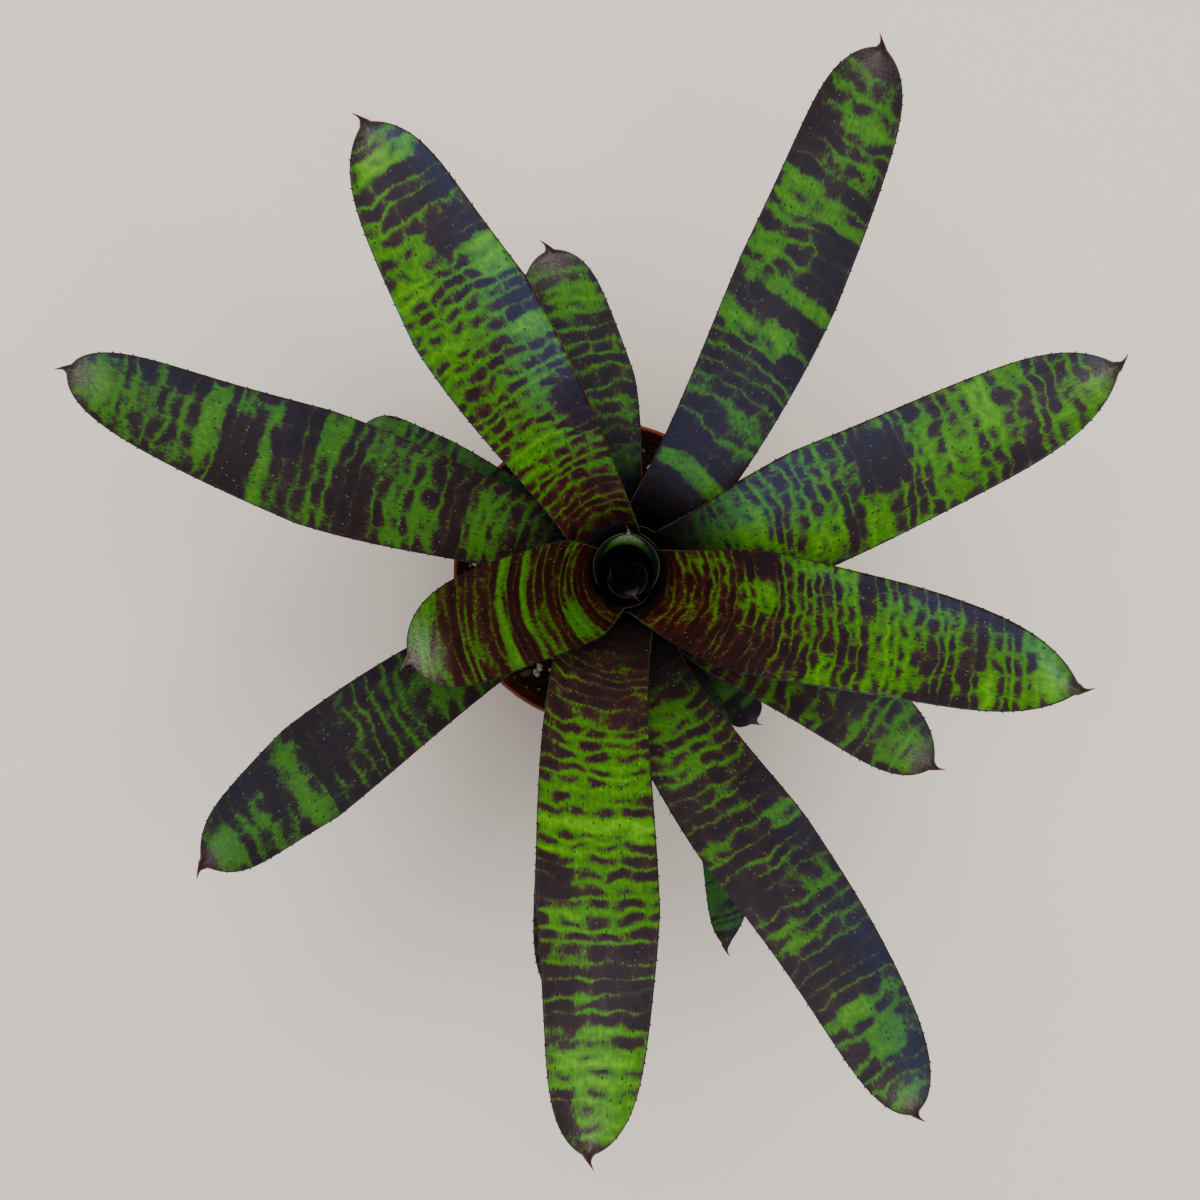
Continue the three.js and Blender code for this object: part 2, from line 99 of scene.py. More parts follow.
def new_material(name):
    """A node material, add_node for its own tree, and its Principled shader."""
    material = bpy.data.materials.new(name)
    material.use_nodes = True
    tree = material.node_tree
    return material, partial(add_node, tree), tree.nodes["Principled BSDF"]


def piece_from(bm, name, *materials):
    """Turns a finished bmesh into an object with smooth faces."""
    mesh = bpy.data.meshes.new(name)
    for face in bm.faces:
        face.smooth = True
    bm.to_mesh(mesh)
    bm.free()
    for material in materials:
        mesh.materials.append(material)
    piece = bpy.data.objects.new(name, mesh)
    bpy.context.scene.collection.objects.link(piece)
    return piece


def spun(profile, steps):
    """A bmesh turned about +Z from (radius, height) pairs in millimetres, poles closed."""
    bm = bmesh.new()
    line = [bm.verts.new((radius * MM, 0, height * MM)) for radius, height in profile]
    edges = [bm.edges.new(pair) for pair in zip(line, line[1:])]
    bmesh.ops.spin(bm, geom=line + edges, axis=(0, 0, 1), cent=(0, 0, 0), angle=2 * math.pi,
                   steps=steps, use_merge=True)
    bmesh.ops.remove_doubles(bm, verts=bm.verts[:], dist=1e-6)
    bmesh.ops.recalc_face_normals(bm, faces=bm.faces[:])
    return bm


def pot_body_radius(height):
    """The radius of the pot's outer wall below its band."""
    return POT_FOOT_RADIUS + (POT_BODY_RADIUS - POT_FOOT_RADIUS) * height / POT_BAND_FOOT


def rounded(centre, radius, start, end, steps):
    """Points on an arc, as (radius, height) pairs; angles in degrees."""
    turns = [math.radians(start + (end - start) * i / steps) for i in range(steps + 1)]
    return [(centre[0] + radius * math.cos(a), centre[1] + radius * math.sin(a)) for a in turns]


# The profile runs from the middle of the underside, up the outside, over the lip and down the
# inside to the middle of the floor.
pot_inner_foot = pot_body_radius(POT_FLOOR) - POT_WALL
pot_profile = [
    (0, POT_FLOOR_LIFT), (POT_FOOT_RING - 1, POT_FLOOR_LIFT), (POT_FOOT_RING, 0),
    *rounded((POT_FOOT_RADIUS - POT_FOOT_ROUNDING, POT_FOOT_ROUNDING), POT_FOOT_ROUNDING,
             -90, 8, 5),
    (pot_body_radius(20), 20), (pot_body_radius(50), 50), (POT_BODY_RADIUS, POT_BAND_FOOT - 0.4),
    *rounded((POT_RIM_RADIUS - 0.9, POT_BAND_FOOT + 0.7), 0.6, -80, 0, 4),
    (POT_RIM_RADIUS - 0.1, 84),
    *rounded((POT_RIM_RADIUS - POT_LIP, POT_HEIGHT - POT_LIP), POT_LIP, 0, 180, 8),
    (POT_RIM_RADIUS - POT_WALL - 0.4, POT_BAND_FOOT + POT_WALL),
    (POT_BODY_RADIUS - POT_WALL, POT_BAND_FOOT),
    (pot_body_radius(40) - POT_WALL, 40),
    (pot_inner_foot, POT_FLOOR + 1), (pot_inner_foot - 1, POT_FLOOR), (0, POT_FLOOR),
]
pot_mesh = spun(pot_profile, POT_STEPS)

# Moulded polypropylene: satin, faintly grained, chalky where hard water has dried on it and
# dusty with peat where the mix has touched the inside of the rim. Scales count per metre: the
# clouds of chalk are 18 mm across, the patches of peat 4 mm and the grain 0.7 mm.
pot_plastic, add, shader = new_material("moulded_polypropylene")
where = add("TexCoord", out="Object")
clouds = add("TexNoise", {"Vector": where, "Scale": 55, "Detail": 5})
chalk = add("MapRange", {0: clouds, 1: 0.5, 2: 0.72, 4: 0.5})
pot_color = add("Mix", {0: chalk, 6: linear("#8e4130"), 7: linear("#a9715c")}, **COLOR_MIX)
level_at = add("VectorMath", {0: where, 1: (1, 1, 0)}, operation="MULTIPLY")
from_axis = add("VectorMath", {0: level_at}, 1, operation="LENGTH")
inside = add("MapRange", {0: from_axis, 1: (POT_RIM_RADIUS - 0.8) * MM,
                          2: (POT_RIM_RADIUS - 2.4) * MM})
height_at = add("SeparateXYZ", {0: where}, 2)
above = add("MapRange", {0: height_at, 1: (POT_BAND_FOOT - 1) * MM, 2: (POT_BAND_FOOT + 1) * MM})
dusty = add("Math", {0: inside, 1: above}, operation="MULTIPLY")
patches = add("TexNoise", {"Vector": where, "Scale": 260, "Detail": 4})
stain = add("MapRange", {0: patches, 1: 0.38, 2: 0.62, 3: 0.45})
soiled = add("Math", {0: dusty, 1: stain}, operation="MULTIPLY")
pot_color = add("Mix", {0: soiled, 6: pot_color, 7: linear("#3a1f17")}, **COLOR_MIX)
grain = add("TexNoise", {"Vector": where, "Scale": 1400, "Detail": 2})
satin = add("MapRange", {0: clouds, 3: 0.38, 4: 0.6})
bump = add("Bump", {"Height": grain, "Strength": 0.25, "Distance": 0.0002})
set_inputs(shader, {"Base Color": pot_color, "Roughness": satin, "Normal": bump,
                    "Specular IOR Level": 0.15})

pot = piece_from(pot_mesh, "pot_shell", pot_plastic)
cutters = bmesh.new()
for i in range(DRAIN_HOLES):
    angle = 2 * math.pi * i / DRAIN_HOLES
    hole_at = [side * DRAIN_CIRCLE_RADIUS * MM for side in (math.cos(angle), math.sin(angle), 0)]
    bmesh.ops.create_cone(cutters, cap_ends=True, segments=32, radius1=DRAIN_HOLE_RADIUS * MM,
                          radius2=DRAIN_HOLE_RADIUS * MM, depth=DRAIN_DRILL_LENGTH * MM,
                          matrix=Matrix.Translation(hole_at))
drill = piece_from(cutters, "drain_drill")
holes = pot.modifiers.new("drain_holes", "BOOLEAN")
holes.object = drill
holes.operation = "DIFFERENCE"
drilled = bpy.data.meshes.new_from_object(pot.evaluated_get(bpy.context.evaluated_depsgraph_get()))
pot.modifiers.clear()
pot.data = drilled
bpy.data.objects.remove(drill)
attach(pot, "root")
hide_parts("pot")

# ---------- Potting mix ----------
# A peat and bark mix with white perlite. It fills the pot to a centimetre below the rim, its
# top is crumbly, and the coarser bits lie loose on it.

SOIL_TOP = 80
SOIL_SWELL = 0.5
SOIL_LUMPS = 0.7
SOIL_STEPS = 180
SOIL_OUTER_RING = 48.4
SOIL_RING_PITCH = 1.1
SOIL_GAP = 0.3
SOIL_EDGE = pot_body_radius(POT_BAND_FOOT) - POT_WALL - SOIL_GAP
CRUMB_BATCHES = 30
CRUMBS_IN_BATCH = 30
CRUMB_RING = (14, 47.6)
PERLITE_BITS = 95
PERLITE_RING = (24, 47)
BARK_BITS = 80
BARK_RING = (20, 45.5)
rng = random.Random(11)


def soil_height(x, y):
    """The height of the mix's top at a place, in millimetres."""
    swell = math.sin(0.63 * x + 1.1) * math.cos(0.71 * y - 0.4)
    lumps = noise.fractal(Vector((x * 0.35, y * 0.35, 3.0)), 0.8, 2.1, 4)
    return SOIL_TOP + SOIL_SWELL * swell + SOIL_LUMPS * lumps


soil_rings = [(ring, SOIL_TOP) for ring in np.arange(SOIL_OUTER_RING, 0.5, -SOIL_RING_PITCH)]
soil_floor = POT_FLOOR + SOIL_GAP
soil = spun([
    (0, soil_floor), (pot_body_radius(soil_floor) - 3.2, soil_floor),
    (pot_body_radius(soil_floor) - 1.9, soil_floor + 1.5),
    (SOIL_EDGE - 0.2, POT_BAND_FOOT - 1), (SOIL_EDGE - 0.4, SOIL_TOP - 0.8),
    *soil_rings, (0, SOIL_TOP),
], SOIL_STEPS)
for vert in soil.verts:
    if vert.co.z > (SOIL_TOP - 0.5) * MM:
        vert.co.z = soil_height(vert.co.x / MM, vert.co.y / MM) * MM


def add_lump(bm, place, size, sunk, detail, jagged):
    """One loose bit: a ball knocked out of round, squashed, turned and partly sunk in the mix."""
    ball = bmesh.ops.create_icosphere(bm, subdivisions=detail, radius=0.5)["verts"]
    for vert in ball:
        vert.co *= 1 + jagged * (rng.random() - 0.5)
    turn = Euler([rng.uniform(-0.4, 0.4), rng.uniform(-0.4, 0.4), rng.uniform(0, 6.28)])
    bmesh.ops.scale(bm, vec=[side * MM for side in size], verts=ball)
    bmesh.ops.rotate(bm, cent=(0, 0, 0), matrix=turn.to_matrix(), verts=ball)
    height = soil_height(*place) + size[2] * (0.5 - sunk)
    bmesh.ops.translate(bm, vec=(place[0] * MM, place[1] * MM, height * MM), verts=ball)


def spread_place(ring):
    """A place on the mix's top between a ring's two radii, in millimetres."""
    angle = rng.uniform(0, 2 * math.pi)
    radius = math.sqrt(rng.uniform(ring[0] ** 2, ring[1] ** 2))
    return radius * math.cos(angle), radius * math.sin(angle)


# The crumbs go in by batches, because one growing bmesh gets slow.
for _ in range(CRUMB_BATCHES):
    batch = bmesh.new()
    for _ in range(CRUMBS_IN_BATCH):
        long_mm = rng.uniform(0.8, 2.2)
        add_lump(batch, spread_place(CRUMB_RING),
                 (long_mm, long_mm * rng.uniform(0.5, 1), long_mm * 0.7), 0.35, 1, 0.5)
    crumbs = bpy.data.meshes.new("crumbs")
    batch.to_mesh(crumbs)
    batch.free()
    soil.from_mesh(crumbs)
    bpy.data.meshes.remove(crumbs)

# Damp peat: near black, matt, with rusty flecks of 2 mm and the odd pale grain of 1 mm.
peat_mix, add, shader = new_material("damp_peat")
where = add("TexCoord", out="Object")
flecks = add("TexNoise", {"Vector": where, "Scale": 520, "Detail": 6, "Roughness": 0.65})
rust = add("MapRange", {0: flecks, 1: 0.35, 2: 0.7})
peat_color = add("Mix", {0: rust, 6: linear("#120c09"), 7: linear("#3a271c")}, **COLOR_MIX)
grains = add("TexVoronoi", {"Vector": where, "Scale": 900}, "Color")
pick = add("SeparateColor", {0: grains})
pale = add("MapRange", {0: pick, 1: 0.955, 2: 0.965, 4: 0.7})
peat_color = add("Mix", {0: pale, 6: peat_color, 7: linear("#8d8272")}, **COLOR_MIX)
bump = add("Bump", {"Height": flecks, "Strength": 0.8, "Distance": 0.0012})
set_inputs(shader, {"Base Color": peat_color, "Normal": bump, "Roughness": 0.92,
                    "Specular IOR Level": 0.12})
potting_mix = piece_from(soil, "peat_and_crumbs", peat_mix)
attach(potting_mix, "root")
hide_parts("potting_mix")

# Perlite: puffed volcanic glass, white, chalky, full of pores of 0.4 mm and stained by the peat.
perlite_bits = bmesh.new()
for _ in range(PERLITE_BITS):
    long_mm = rng.uniform(1.6, 3.6)
    add_lump(perlite_bits, spread_place(PERLITE_RING),
             (long_mm, long_mm * rng.uniform(0.7, 1), long_mm * 0.8), 0.3, 2, 0.34)
perlite, add, shader = new_material("puffed_perlite")
where = add("TexCoord", out="Object")
pores = add("TexVoronoi", {"Vector": where, "Scale": 2600}, "Distance")
stain = add("TexNoise", {"Vector": where, "Scale": 700, "Detail": 4})
stain = add("MapRange", {0: stain, 1: 0.4, 2: 0.75})
perlite_color = add("Mix", {0: stain, 6: linear("#d9d4c4"), 7: linear("#8a7d68")}, **COLOR_MIX)
bump = add("Bump", {"Height": pores, "Strength": 0.6, "Distance": 0.0003})
set_inputs(shader, {"Base Color": perlite_color, "Normal": bump, "Roughness": 0.85})
perlite_piece = piece_from(perlite_bits, "perlite_bits", perlite)
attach(perlite_piece, "root")

# Composted bark: flat chips, each of its own brown and mottled every 2 mm.
bark_bits = bmesh.new()
for _ in range(BARK_BITS):
    long_mm = rng.uniform(3, 7.5)
    add_lump(bark_bits, spread_place(BARK_RING),
             (long_mm, long_mm * rng.uniform(0.3, 0.6), rng.uniform(0.9, 1.8)), 0.3, 2, 0.3)
bark, add, shader = new_material("composted_bark")
where = add("TexCoord", out="Object")
chips = add("TexVoronoi", {"Vector": where, "Scale": 140}, "Color")
pick = add("SeparateColor", {0: chips})
bark_color = add("Mix", {0: pick, 6: linear("#2a1a12"), 7: linear("#7a5a3e")}, **COLOR_MIX)
mottle = add("TexNoise", {"Vector": where, "Scale": 420, "Detail": 5})
bark_color = add("Mix", {0: mottle, 6: bark_color, 7: linear("#4a3426")}, **COLOR_MIX)
bump = add("Bump", {"Height": mottle, "Strength": 0.7, "Distance": 0.0006})
set_inputs(shader, {"Base Color": bark_color, "Normal": bump, "Roughness": 0.8,
                    "Specular IOR Level": 0.2})
bark_piece = piece_from(bark_bits, "bark_chips", bark)
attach(bark_piece, "root")

# ---------- Stem ----------
# The short stout caudex that carries every leaf. It stands in the mix, and the scars of leaves
# that have been shed ring it from the mix up to the oldest leaf.

ROSETTE_X = 6.4
ROSETTE_Y = -0.7
STEM_FOOT = 50
STEM_TOP = 109
STEM_RADIUS = 8.5
STEM_TIP_RADIUS = 3.2
STEM_SHOULDER = 86
STEM_STEPS = 48
SCAR_PITCH = 1.6
SCAR_DEPTH = 0.35
STEM_RING_PITCH = SCAR_PITCH / 4


def eased(value, start, end):
    """0 before start, 1 after end, smooth between; numbers or arrays."""
    share = np.clip((value - start) / (end - start), 0, 1)
    return share * share * (3 - 2 * share)


def stem_radius(height):
    """The stem's radius between its scars."""
    return STEM_RADIUS + (STEM_TIP_RADIUS - STEM_RADIUS) * eased(height, STEM_SHOULDER, STEM_TOP)


stem_profile = [(0, STEM_FOOT), (STEM_RADIUS - 1, STEM_FOOT), (STEM_RADIUS, STEM_FOOT + 1)]
for height in np.arange(STEM_FOOT + 2, STEM_TOP - 0.6, STEM_RING_PITCH):
    scar = SCAR_DEPTH * max(0, math.cos(2 * math.pi * height / SCAR_PITCH)) ** 3
    stem_profile.append((stem_radius(height) - scar, height))
stem_profile.append((0, STEM_TOP))
stem_mesh = spun(stem_profile, STEM_STEPS)
bmesh.ops.translate(stem_mesh, vec=(ROSETTE_X * MM, ROSETTE_Y * MM, 0), verts=stem_mesh.verts[:])

# Corky stem: dry, light brown, mottled every 3 mm, and nearly black at the growing tip, which
# stands in water deep in the cup: dampness and painted shade.
cork, add, shader = new_material("corky_stem")
where = add("TexCoord", out="Object")
height_at = add("SeparateXYZ", {0: where}, 2)
mottle = add("TexNoise", {"Vector": where, "Scale": 380, "Detail": 5})
cork_color = add("Mix", {0: mottle, 6: linear("#3b2a1b"), 7: linear("#8b7350")}, **COLOR_MIX)
# The growing tip is painted near black: dampness and painted shade in the cup.
wet_and_shaded_tip = add("MapRange", {0: height_at, 1: (STEM_TOP - 7) * MM, 2: (STEM_TOP - 3) * MM})
cork_color = add("Mix", {0: wet_and_shaded_tip, 6: cork_color, 7: linear("#090a06")}, **COLOR_MIX)
bump = add("Bump", {"Height": mottle, "Strength": 0.6, "Distance": 0.0006})
set_inputs(shader, {"Base Color": cork_color, "Normal": bump, "Roughness": 0.82})
stem = piece_from(stem_mesh, "caudex", cork)
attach(stem, "root")
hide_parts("stem")

# ---------- Leaves ----------
# Eighteen leathery straps in one rosette. Each clasps the stem with a wide sheath, and the
# sheaths nest like bowls to hold water. The margins carry small horny spines, and each blade
# ends in a sharp tip. Irregular dark bands cross the green blade from side to side.

BOWL_HEIGHT = 22
FLARE_RADIUS = 16
LEAF_THICKNESS = 0.8
MARGIN_THICKNESS = 0.34
SHEATH_HALF_WIDTH = 27
MOST_WRAP = math.radians(150)
CHANNEL_START = 28
CHANNEL_FULL = 75
RIPPLE_HEIGHT = 0.6
RIPPLE_LENGTH = 41
TIP_ROOT_HALF_WIDTH = 1.5
MUCRO_LENGTH = 4.9
MUCRO_LIFT = 1
MUCRO_SWING = math.radians(24)
MUCRO_POINT_SHARE = 0.08
MUCRO_THINNING = 0.75
ROW_PITCH = 0.95
TIP_STRETCH = 9
TIP_ROWS = 18
MUCRO_ROWS = 8
STRIPS = 26
MARGIN_CROWDING = 0.35

# A row for each leaf, from the inside out. First its outline: heading, drift and sway give the
# midrib's compass angle, reach is how far out the tip is, width the most the blade has, neck
# the share of it at the throat, widest how far along it comes, taper the share lost from
# there on, and point how slender the end is. Then the side view: rise and droop are the
# slopes at the throat and the tip, channel and twist lift the margins, base is where the
# sheath leaves the stem, shell how far out it stands and throat how high it opens.
# Then the looks: cell is a dark patch's size along and across, lean slants the bands, green
# is how green the blade is, red how maroon its bands are at the throat and at the tip, deep
# how dark its green is (an older leaf's darker green, and painted shade on leaves that get
# less light), cap how far the dusky tip reaches back, scurf how silvery the tip is, dust how
# far that reaches back, dusk how far the throat's near black reaches out (dark pigment, and
# painted shade down in the cup), lit how much of a rolled leaf's width daylight reaches (the
# rest is painted in shade), and rim how pale the margin is near the throat.
# Each of bands is a clearly green (above 0) or dark (below 0) patch: from and to along the
# blade, from and to across it (-1 to 1), and how strong it is.
LEAVES = {
    # The heart leaf lies deep in the cup, and its near black colouring is painted shade.
    "heart": dict(
        heading=292, reach=8, width=22, widest=0.02, taper=0.1, point=0.9, rise=87, droop=66,
        channel=0, shell=4.8, throat=124,
        cell=(2.6, 6), green=-1.5, red=(0.1, 0.1), deep=0.9, cap=1, scurf=0.5, dust=7, dusk=9,
        lit=0.35, rim=0),
    "tube": dict(
        heading=86, reach=12.6, width=46, widest=0.02, taper=0.55, point=0.9, rise=87, droop=58,
        channel=0, shell=9.6, throat=139,
        cell=(2.2, 9), green=0.3, red=(0.1, 0.1), deep=0.5, cap=0.6, scurf=1.8, dust=8, dusk=3.5,
        lit=0.5, rim=0.05,
        bands=[(2, 12, -1, 1, 1.5)]),
    "west": dict(
        heading=202.2, sway=-2.4, reach=68.3, width=36.7, widest=0.29, taper=0.13, point=0.59,
        rise=62, droop=36, channel=1.5,
        cell=(4.2, 18), lean=0.22, green=-0.08, red=(1, 0.9), deep=0.55, cap=1.5, scurf=1,
        bands=[(4, 17, -1, 1, -0.7), (20, 27, 0.2, 0.85, 1), (21, 26, -1, -0.75, 0.8),
               (43.5, 47, -1, 0.4, 1.3), (47, 52.5, -1, 1, -0.4), (53.5, 58, -1, 1, 1.4),
               (59, 68, -1, 1, -0.3), (84, 95, -1, 0.7, 0.9)]),
    "east": dict(
        heading=335.9, drift=9, sway=3.9, reach=127.5, width=39.6, neck=0.69, widest=0.35,
        taper=0.33, point=0.83, rise=52, droop=26,
        cell=(4, 6.2), lean=-0.2, green=0.08, red=(0.85, 0.1), deep=0, cap=2.5, scurf=0.3,
        dusk=15,
        bands=[(2, 30, -1, 1, -0.8), (30, 60, -1, 1, -0.3), (16, 28, 0.5, 0.95, 1.1),
               (25, 60, -1, -0.25, -0.4), (42, 58, 0.05, 0.5, 0.9), (44, 58, 0.6, 1, -0.7),
               (62, 75, -1, -0.45, -0.8), (72, 80, -1, -0.45, 0.9), (62, 100, 0.8, 1, 0.6),
               (82, 88, 0.4, 1, 0.6), (92, 106, -0.9, 0.4, 0.35), (95, 125, -1, -0.8, -0.6),
               (88, 140, 0.75, 1, -0.8), (110, 126, -0.8, 0.6, -0.1), (126, 131, -1, -0.2, 0.9),
               (145, 156, -1, 1, 1)]),
    "north_north_west": dict(
        heading=116.6, drift=4.1, sway=2.5, reach=144.7, width=38.8, neck=0.6, widest=0.64,
        taper=0.39, point=0.76, rise=50, droop=16, twist=-3.7,
        cell=(4.7, 6.5), green=0.2, red=(0.8, 0.1), deep=0.05, cap=3, scurf=0.4, dusk=24,
        bands=[(0, 30, -1, 1, -0.6), (50, 72, -1, -0.5, -0.9), (50, 56, -0.5, 0.8, 0.4),
               (88, 95, -1, -0.4, 0.9), (95, 104, -1, -0.5, -0.8), (110, 123, -1, -0.5, 0.9),
               (114, 123, 0.3, 1, 1.1), (123, 133, -1, 0, -0.8), (137, 151, -1, 0.2, -0.6),
               (152, 157, -1, 0.8, 1.2), (157, 163, 0.3, 1, -0.6), (158, 166, -1, 0.2, 0.5)]),
    "south": dict(
        heading=249.5, drift=16.5, sway=5.5, reach=164.8, width=36.7, neck=0.84, widest=0.62,
        taper=0.35, point=0.63, rise=46, droop=12, twist=-0.4,
        cell=(4.8, 9), lean=-0.05, green=0.05, red=(0.5, 0.1), deep=0.05, cap=2.5, scurf=0.25,
        dusk=40,
        bands=[(0, 34, -1, 1, -0.7), (34, 60, -1, 1, -0.3), (44, 80, -0.6, 0.6, 0.25),
               (83, 88, -1, 1, 1.4), (86, 92, 0.6, 1, 1), (92, 96, -1, -0.2, 1),
               (97, 112, -1, -0.5, -0.7), (110, 118, -0.9, -0.3, 0.7), (118, 142, -0.1, 1, -0.4),
               (128, 150, -1, -0.4, -0.5), (145, 148, -1, 0.9, 0.7), (153, 157, -0.8, 0.8, 1.1),
               (160, 178, -0.4, 1, 0.7), (164, 176, -1, -0.5, -0.7)]),
    "east_north_east": dict(
        heading=13.6, drift=9, sway=1.7, reach=153.9, width=38.2, neck=0.63, widest=0.41,
        taper=0.26, point=0.83, rise=43, droop=8, twist=-5,
        cell=(4.9, 6), lean=0.05, green=0.1, red=(0.2, 0), deep=0.15, cap=4, scurf=0.5, dusk=48,
        bands=[(15, 45, -0.3, 0.5, 0.35), (60, 72, -0.7, -0.2, 0.7), (70, 78, -1, -0.3, -0.6),
               (78, 86, -1, -0.4, 0.6), (80, 96, -0.2, 0.8, -1), (100, 118, -0.9, 0.2, 0.3),
               (118, 125, 0, 0.9, 1.2), (125, 150, -1, -0.6, -0.6), (142, 146, -0.9, -0.3, 1),
               (150, 158, 0.1, 1, -0.4), (151, 161, -1, 0, 0.8)]),
    "west_north_west": dict(
        heading=158.2, drift=2, sway=2.3, reach=173.5, width=35.8, neck=0.6, widest=0.58,
        taper=0.39, point=0.51, rise=40, droop=4,
        cell=(5.1, 8.5), green=-0.18, red=(0.5, 0.1), deep=0.65, cap=4, scurf=0.5, dusk=40,
        bands=[(38, 48, -0.7, 0.8, 0.7), (50, 58, -1, 1, -0.5), (62, 80, -0.8, 0.5, 0.3),
               (78, 88, -1, -0.3, 0.5), (68, 76, 0.7, 1, 0.9), (84, 94, -0.2, 1, -0.5),
               (95, 102, -1, 0.9, 0.5), (103, 114, -1, 0, -0.6), (115, 119, -0.8, 1, 1),
               (119, 131, -0.5, 1, -0.8), (133, 138, -0.9, 0.6, 1.2), (138, 150, -1, -0.5, -0.7),
               (165, 177, -0.6, 0.8, 0.6)]),
    "south_south_east": dict(
        heading=277.1, drift=20.8, sway=7.9, reach=180.7, width=36, neck=0.64, widest=0.5,
        taper=0.32, point=0.53, rise=38, droop=2, twist=16.5,
        cell=(5.4, 8.5), lean=-0.15, green=-0.18, red=(0.4, 0.1), deep=0.4, cap=3, scurf=0.4,
        dusk=58,
        bands=[(0, 34, -1, 1, -0.4), (35, 60, -0.5, 0.5, 0.45), (70, 108, 0.3, 1, -0.6),
               (83, 91, 0.4, 1, 1.1), (105, 112, 0.3, 0.9, 0.8), (115, 124, -0.7, -0.3, 0.9),
               (92, 106, -1, -0.4, -0.5), (125, 145, -1, 1, -0.5), (145, 152, -0.5, 0.2, 1),
               (153, 164, -0.2, 0.6, 0.7), (172, 181, -1, 0.6, 0.7)]),
    "north_east": dict(
        heading=53.8, drift=10.3, sway=1.2, reach=174.5, width=33.5, neck=0.77, widest=0.58,
        taper=0.21, point=0.66, rise=36, droop=0, twist=-1.5,
        cell=(6.2, 8.5), lean=0.08, green=-0.15, red=(0.2, 0), deep=0.45, cap=6, scurf=0.22,
        dusk=36,
        bands=[(0, 24, -1, 1, -0.8), (26, 32, -0.9, 0.9, 1.5), (31, 42, -1, 1, -0.5),
               (72, 80, -1, -0.4, -0.8), (76, 86, -0.5, 0, 1.3), (76, 82, 0.3, 0.8, 1),
               (86, 92, -1, 1, -0.7), (92, 97, -1, 1, 1), (98, 118, -1, -0.3, -0.8),
               (100, 107, 0.4, 1, 1), (118, 123, -1, 0, 1), (116, 128, 0.2, 0.9, 0.8),
               (128, 134, -1, 1, -0.6), (132, 142, -0.8, -0.4, 0.8), (145, 153, -0.8, 0.3, 0.9),
               (136, 147, 0.1, 1, -0.8), (153, 163, -0.8, 0.8, 0.4)]),
    "south_west": dict(
        heading=204.6, drift=10, sway=0.9, reach=159.1, width=31.9, neck=0.63, widest=0.72,
        taper=0.38, point=0.99, rise=32, droop=-4,
        cell=(6, 9), green=-0.2, red=(0.3, 0), deep=0.75, cap=4, scurf=0.2,
        bands=[(60, 95, -0.6, 0.3, 0.15), (95, 108, -1, 0.3, -0.8), (108, 116, -0.8, 1, 0.95),
               (117, 123, -1, 1, -0.6), (123, 135, -0.5, 0.3, 0.3), (125, 140, -1, -0.4, -0.6),
               (138, 147, -0.5, 0.7, 0.9)]),
    "south_east": dict(
        heading=330, drift=-2.2, sway=1.4, reach=115, width=30.2, neck=0.79, widest=0.29,
        taper=0.14, point=0.69, rise=28, droop=-6, channel=2.5, twist=5,
        cell=(5.5, 8.5), green=-0.2, red=(0.9, 0.2), deep=0.2, cap=6, scurf=0.4,
        bands=[(60, 65, -1, 0, 0.9), (66, 72, -1, 0.4, -0.4), (73, 76, -1, 0.3, 0.6),
               (87, 96, -0.8, 0.6, 1)]),
    "north": dict(
        heading=103.3, sway=-0.8, reach=106.3, width=33.6, neck=0.7, widest=0.53, taper=0.34,
        point=0.58, rise=26, droop=-8, channel=2.5,
        cell=(4.8, 8.5), green=-0.2, red=(0.1, 0), deep=0.45, cap=6, scurf=0.5,
        bands=[(56, 60, -1, 0.2, 0.4), (70, 80, -0.9, 0.4, 0.9)]),
    "old_south": dict(
        heading=259.5, drift=3, reach=140.1, width=31.9, widest=0.5, taper=0.23, point=0.7,
        rise=22, droop=-8, channel=2.5,
        cell=(4.6, 8), green=-0.1, red=(0.3, 0.3), deep=0.6, cap=5, scurf=0.5),
    "old_east": dict(
        heading=24.1, drift=-0.4, sway=-0.9, reach=105, width=29.9, neck=0.73, widest=0.55,
        taper=0.22, point=0.68, rise=18, droop=-10, channel=2.5, twist=-4.9,
        cell=(4.6, 8), green=-0.2, red=(0.4, 0.3), deep=0.6, cap=5, scurf=0.5),
    "old_west": dict(
        heading=154, sway=1, reach=99.9, width=30.8, widest=0.65, taper=0.1, point=0.72, rise=15,
        droop=-12, channel=2,
        cell=(4.6, 8), green=0.5, red=(0.2, 0.1), deep=0.3, cap=3, scurf=0.8),
    "old_south_east": dict(
        heading=300, drift=-14.7, sway=1, reach=126.9, width=20.8, neck=0.75, widest=0.39,
        taper=0.27, point=0.78, rise=12, droop=-14, channel=1.5,
        cell=(3.2, 18), green=0.35, red=(0.7, 0.7), deep=0.8, cap=1, scurf=0.1,
        bands=[(60, 90, -1, 1, 0.4)]),
    "oldest": dict(
        heading=309.3, drift=2, sway=0.6, reach=65.4, width=14, neck=0.73, widest=0.4, taper=0.02,
        point=0.5, rise=8, droop=-46, channel=1, base=84.1,
        cell=(6, 16), green=-0.3, red=(0, 0), deep=0.95, cap=2, scurf=0, dusk=34,
        bands=[(18, 29, -0.9, 1, 1.8), (29, 32, -1, 1, -1.2), (32, 35.5, 0, 0.9, 1.1),
               (35.5, 60, -1, 1, -1.6)]),
}

# The leaves stand in a spiral, each lower on the stem and wider round it than the last. Where
# a leaf's row leaves these out, they start from the first leaf's and change by a step a leaf.
BASE_HEIGHT = 106
BASE_STEP = -1.25
SHELL_RADIUS = 8.1
SHELL_STEP = 1.5
THROAT_HEIGHT = 135.3
THROAT_STEP = -1.63
# The throat's dark pigment and painted shade reach further out on each lower leaf.
DUSK_REACH = 6
DUSK_STEP = 3
FULLY_LIT = 2


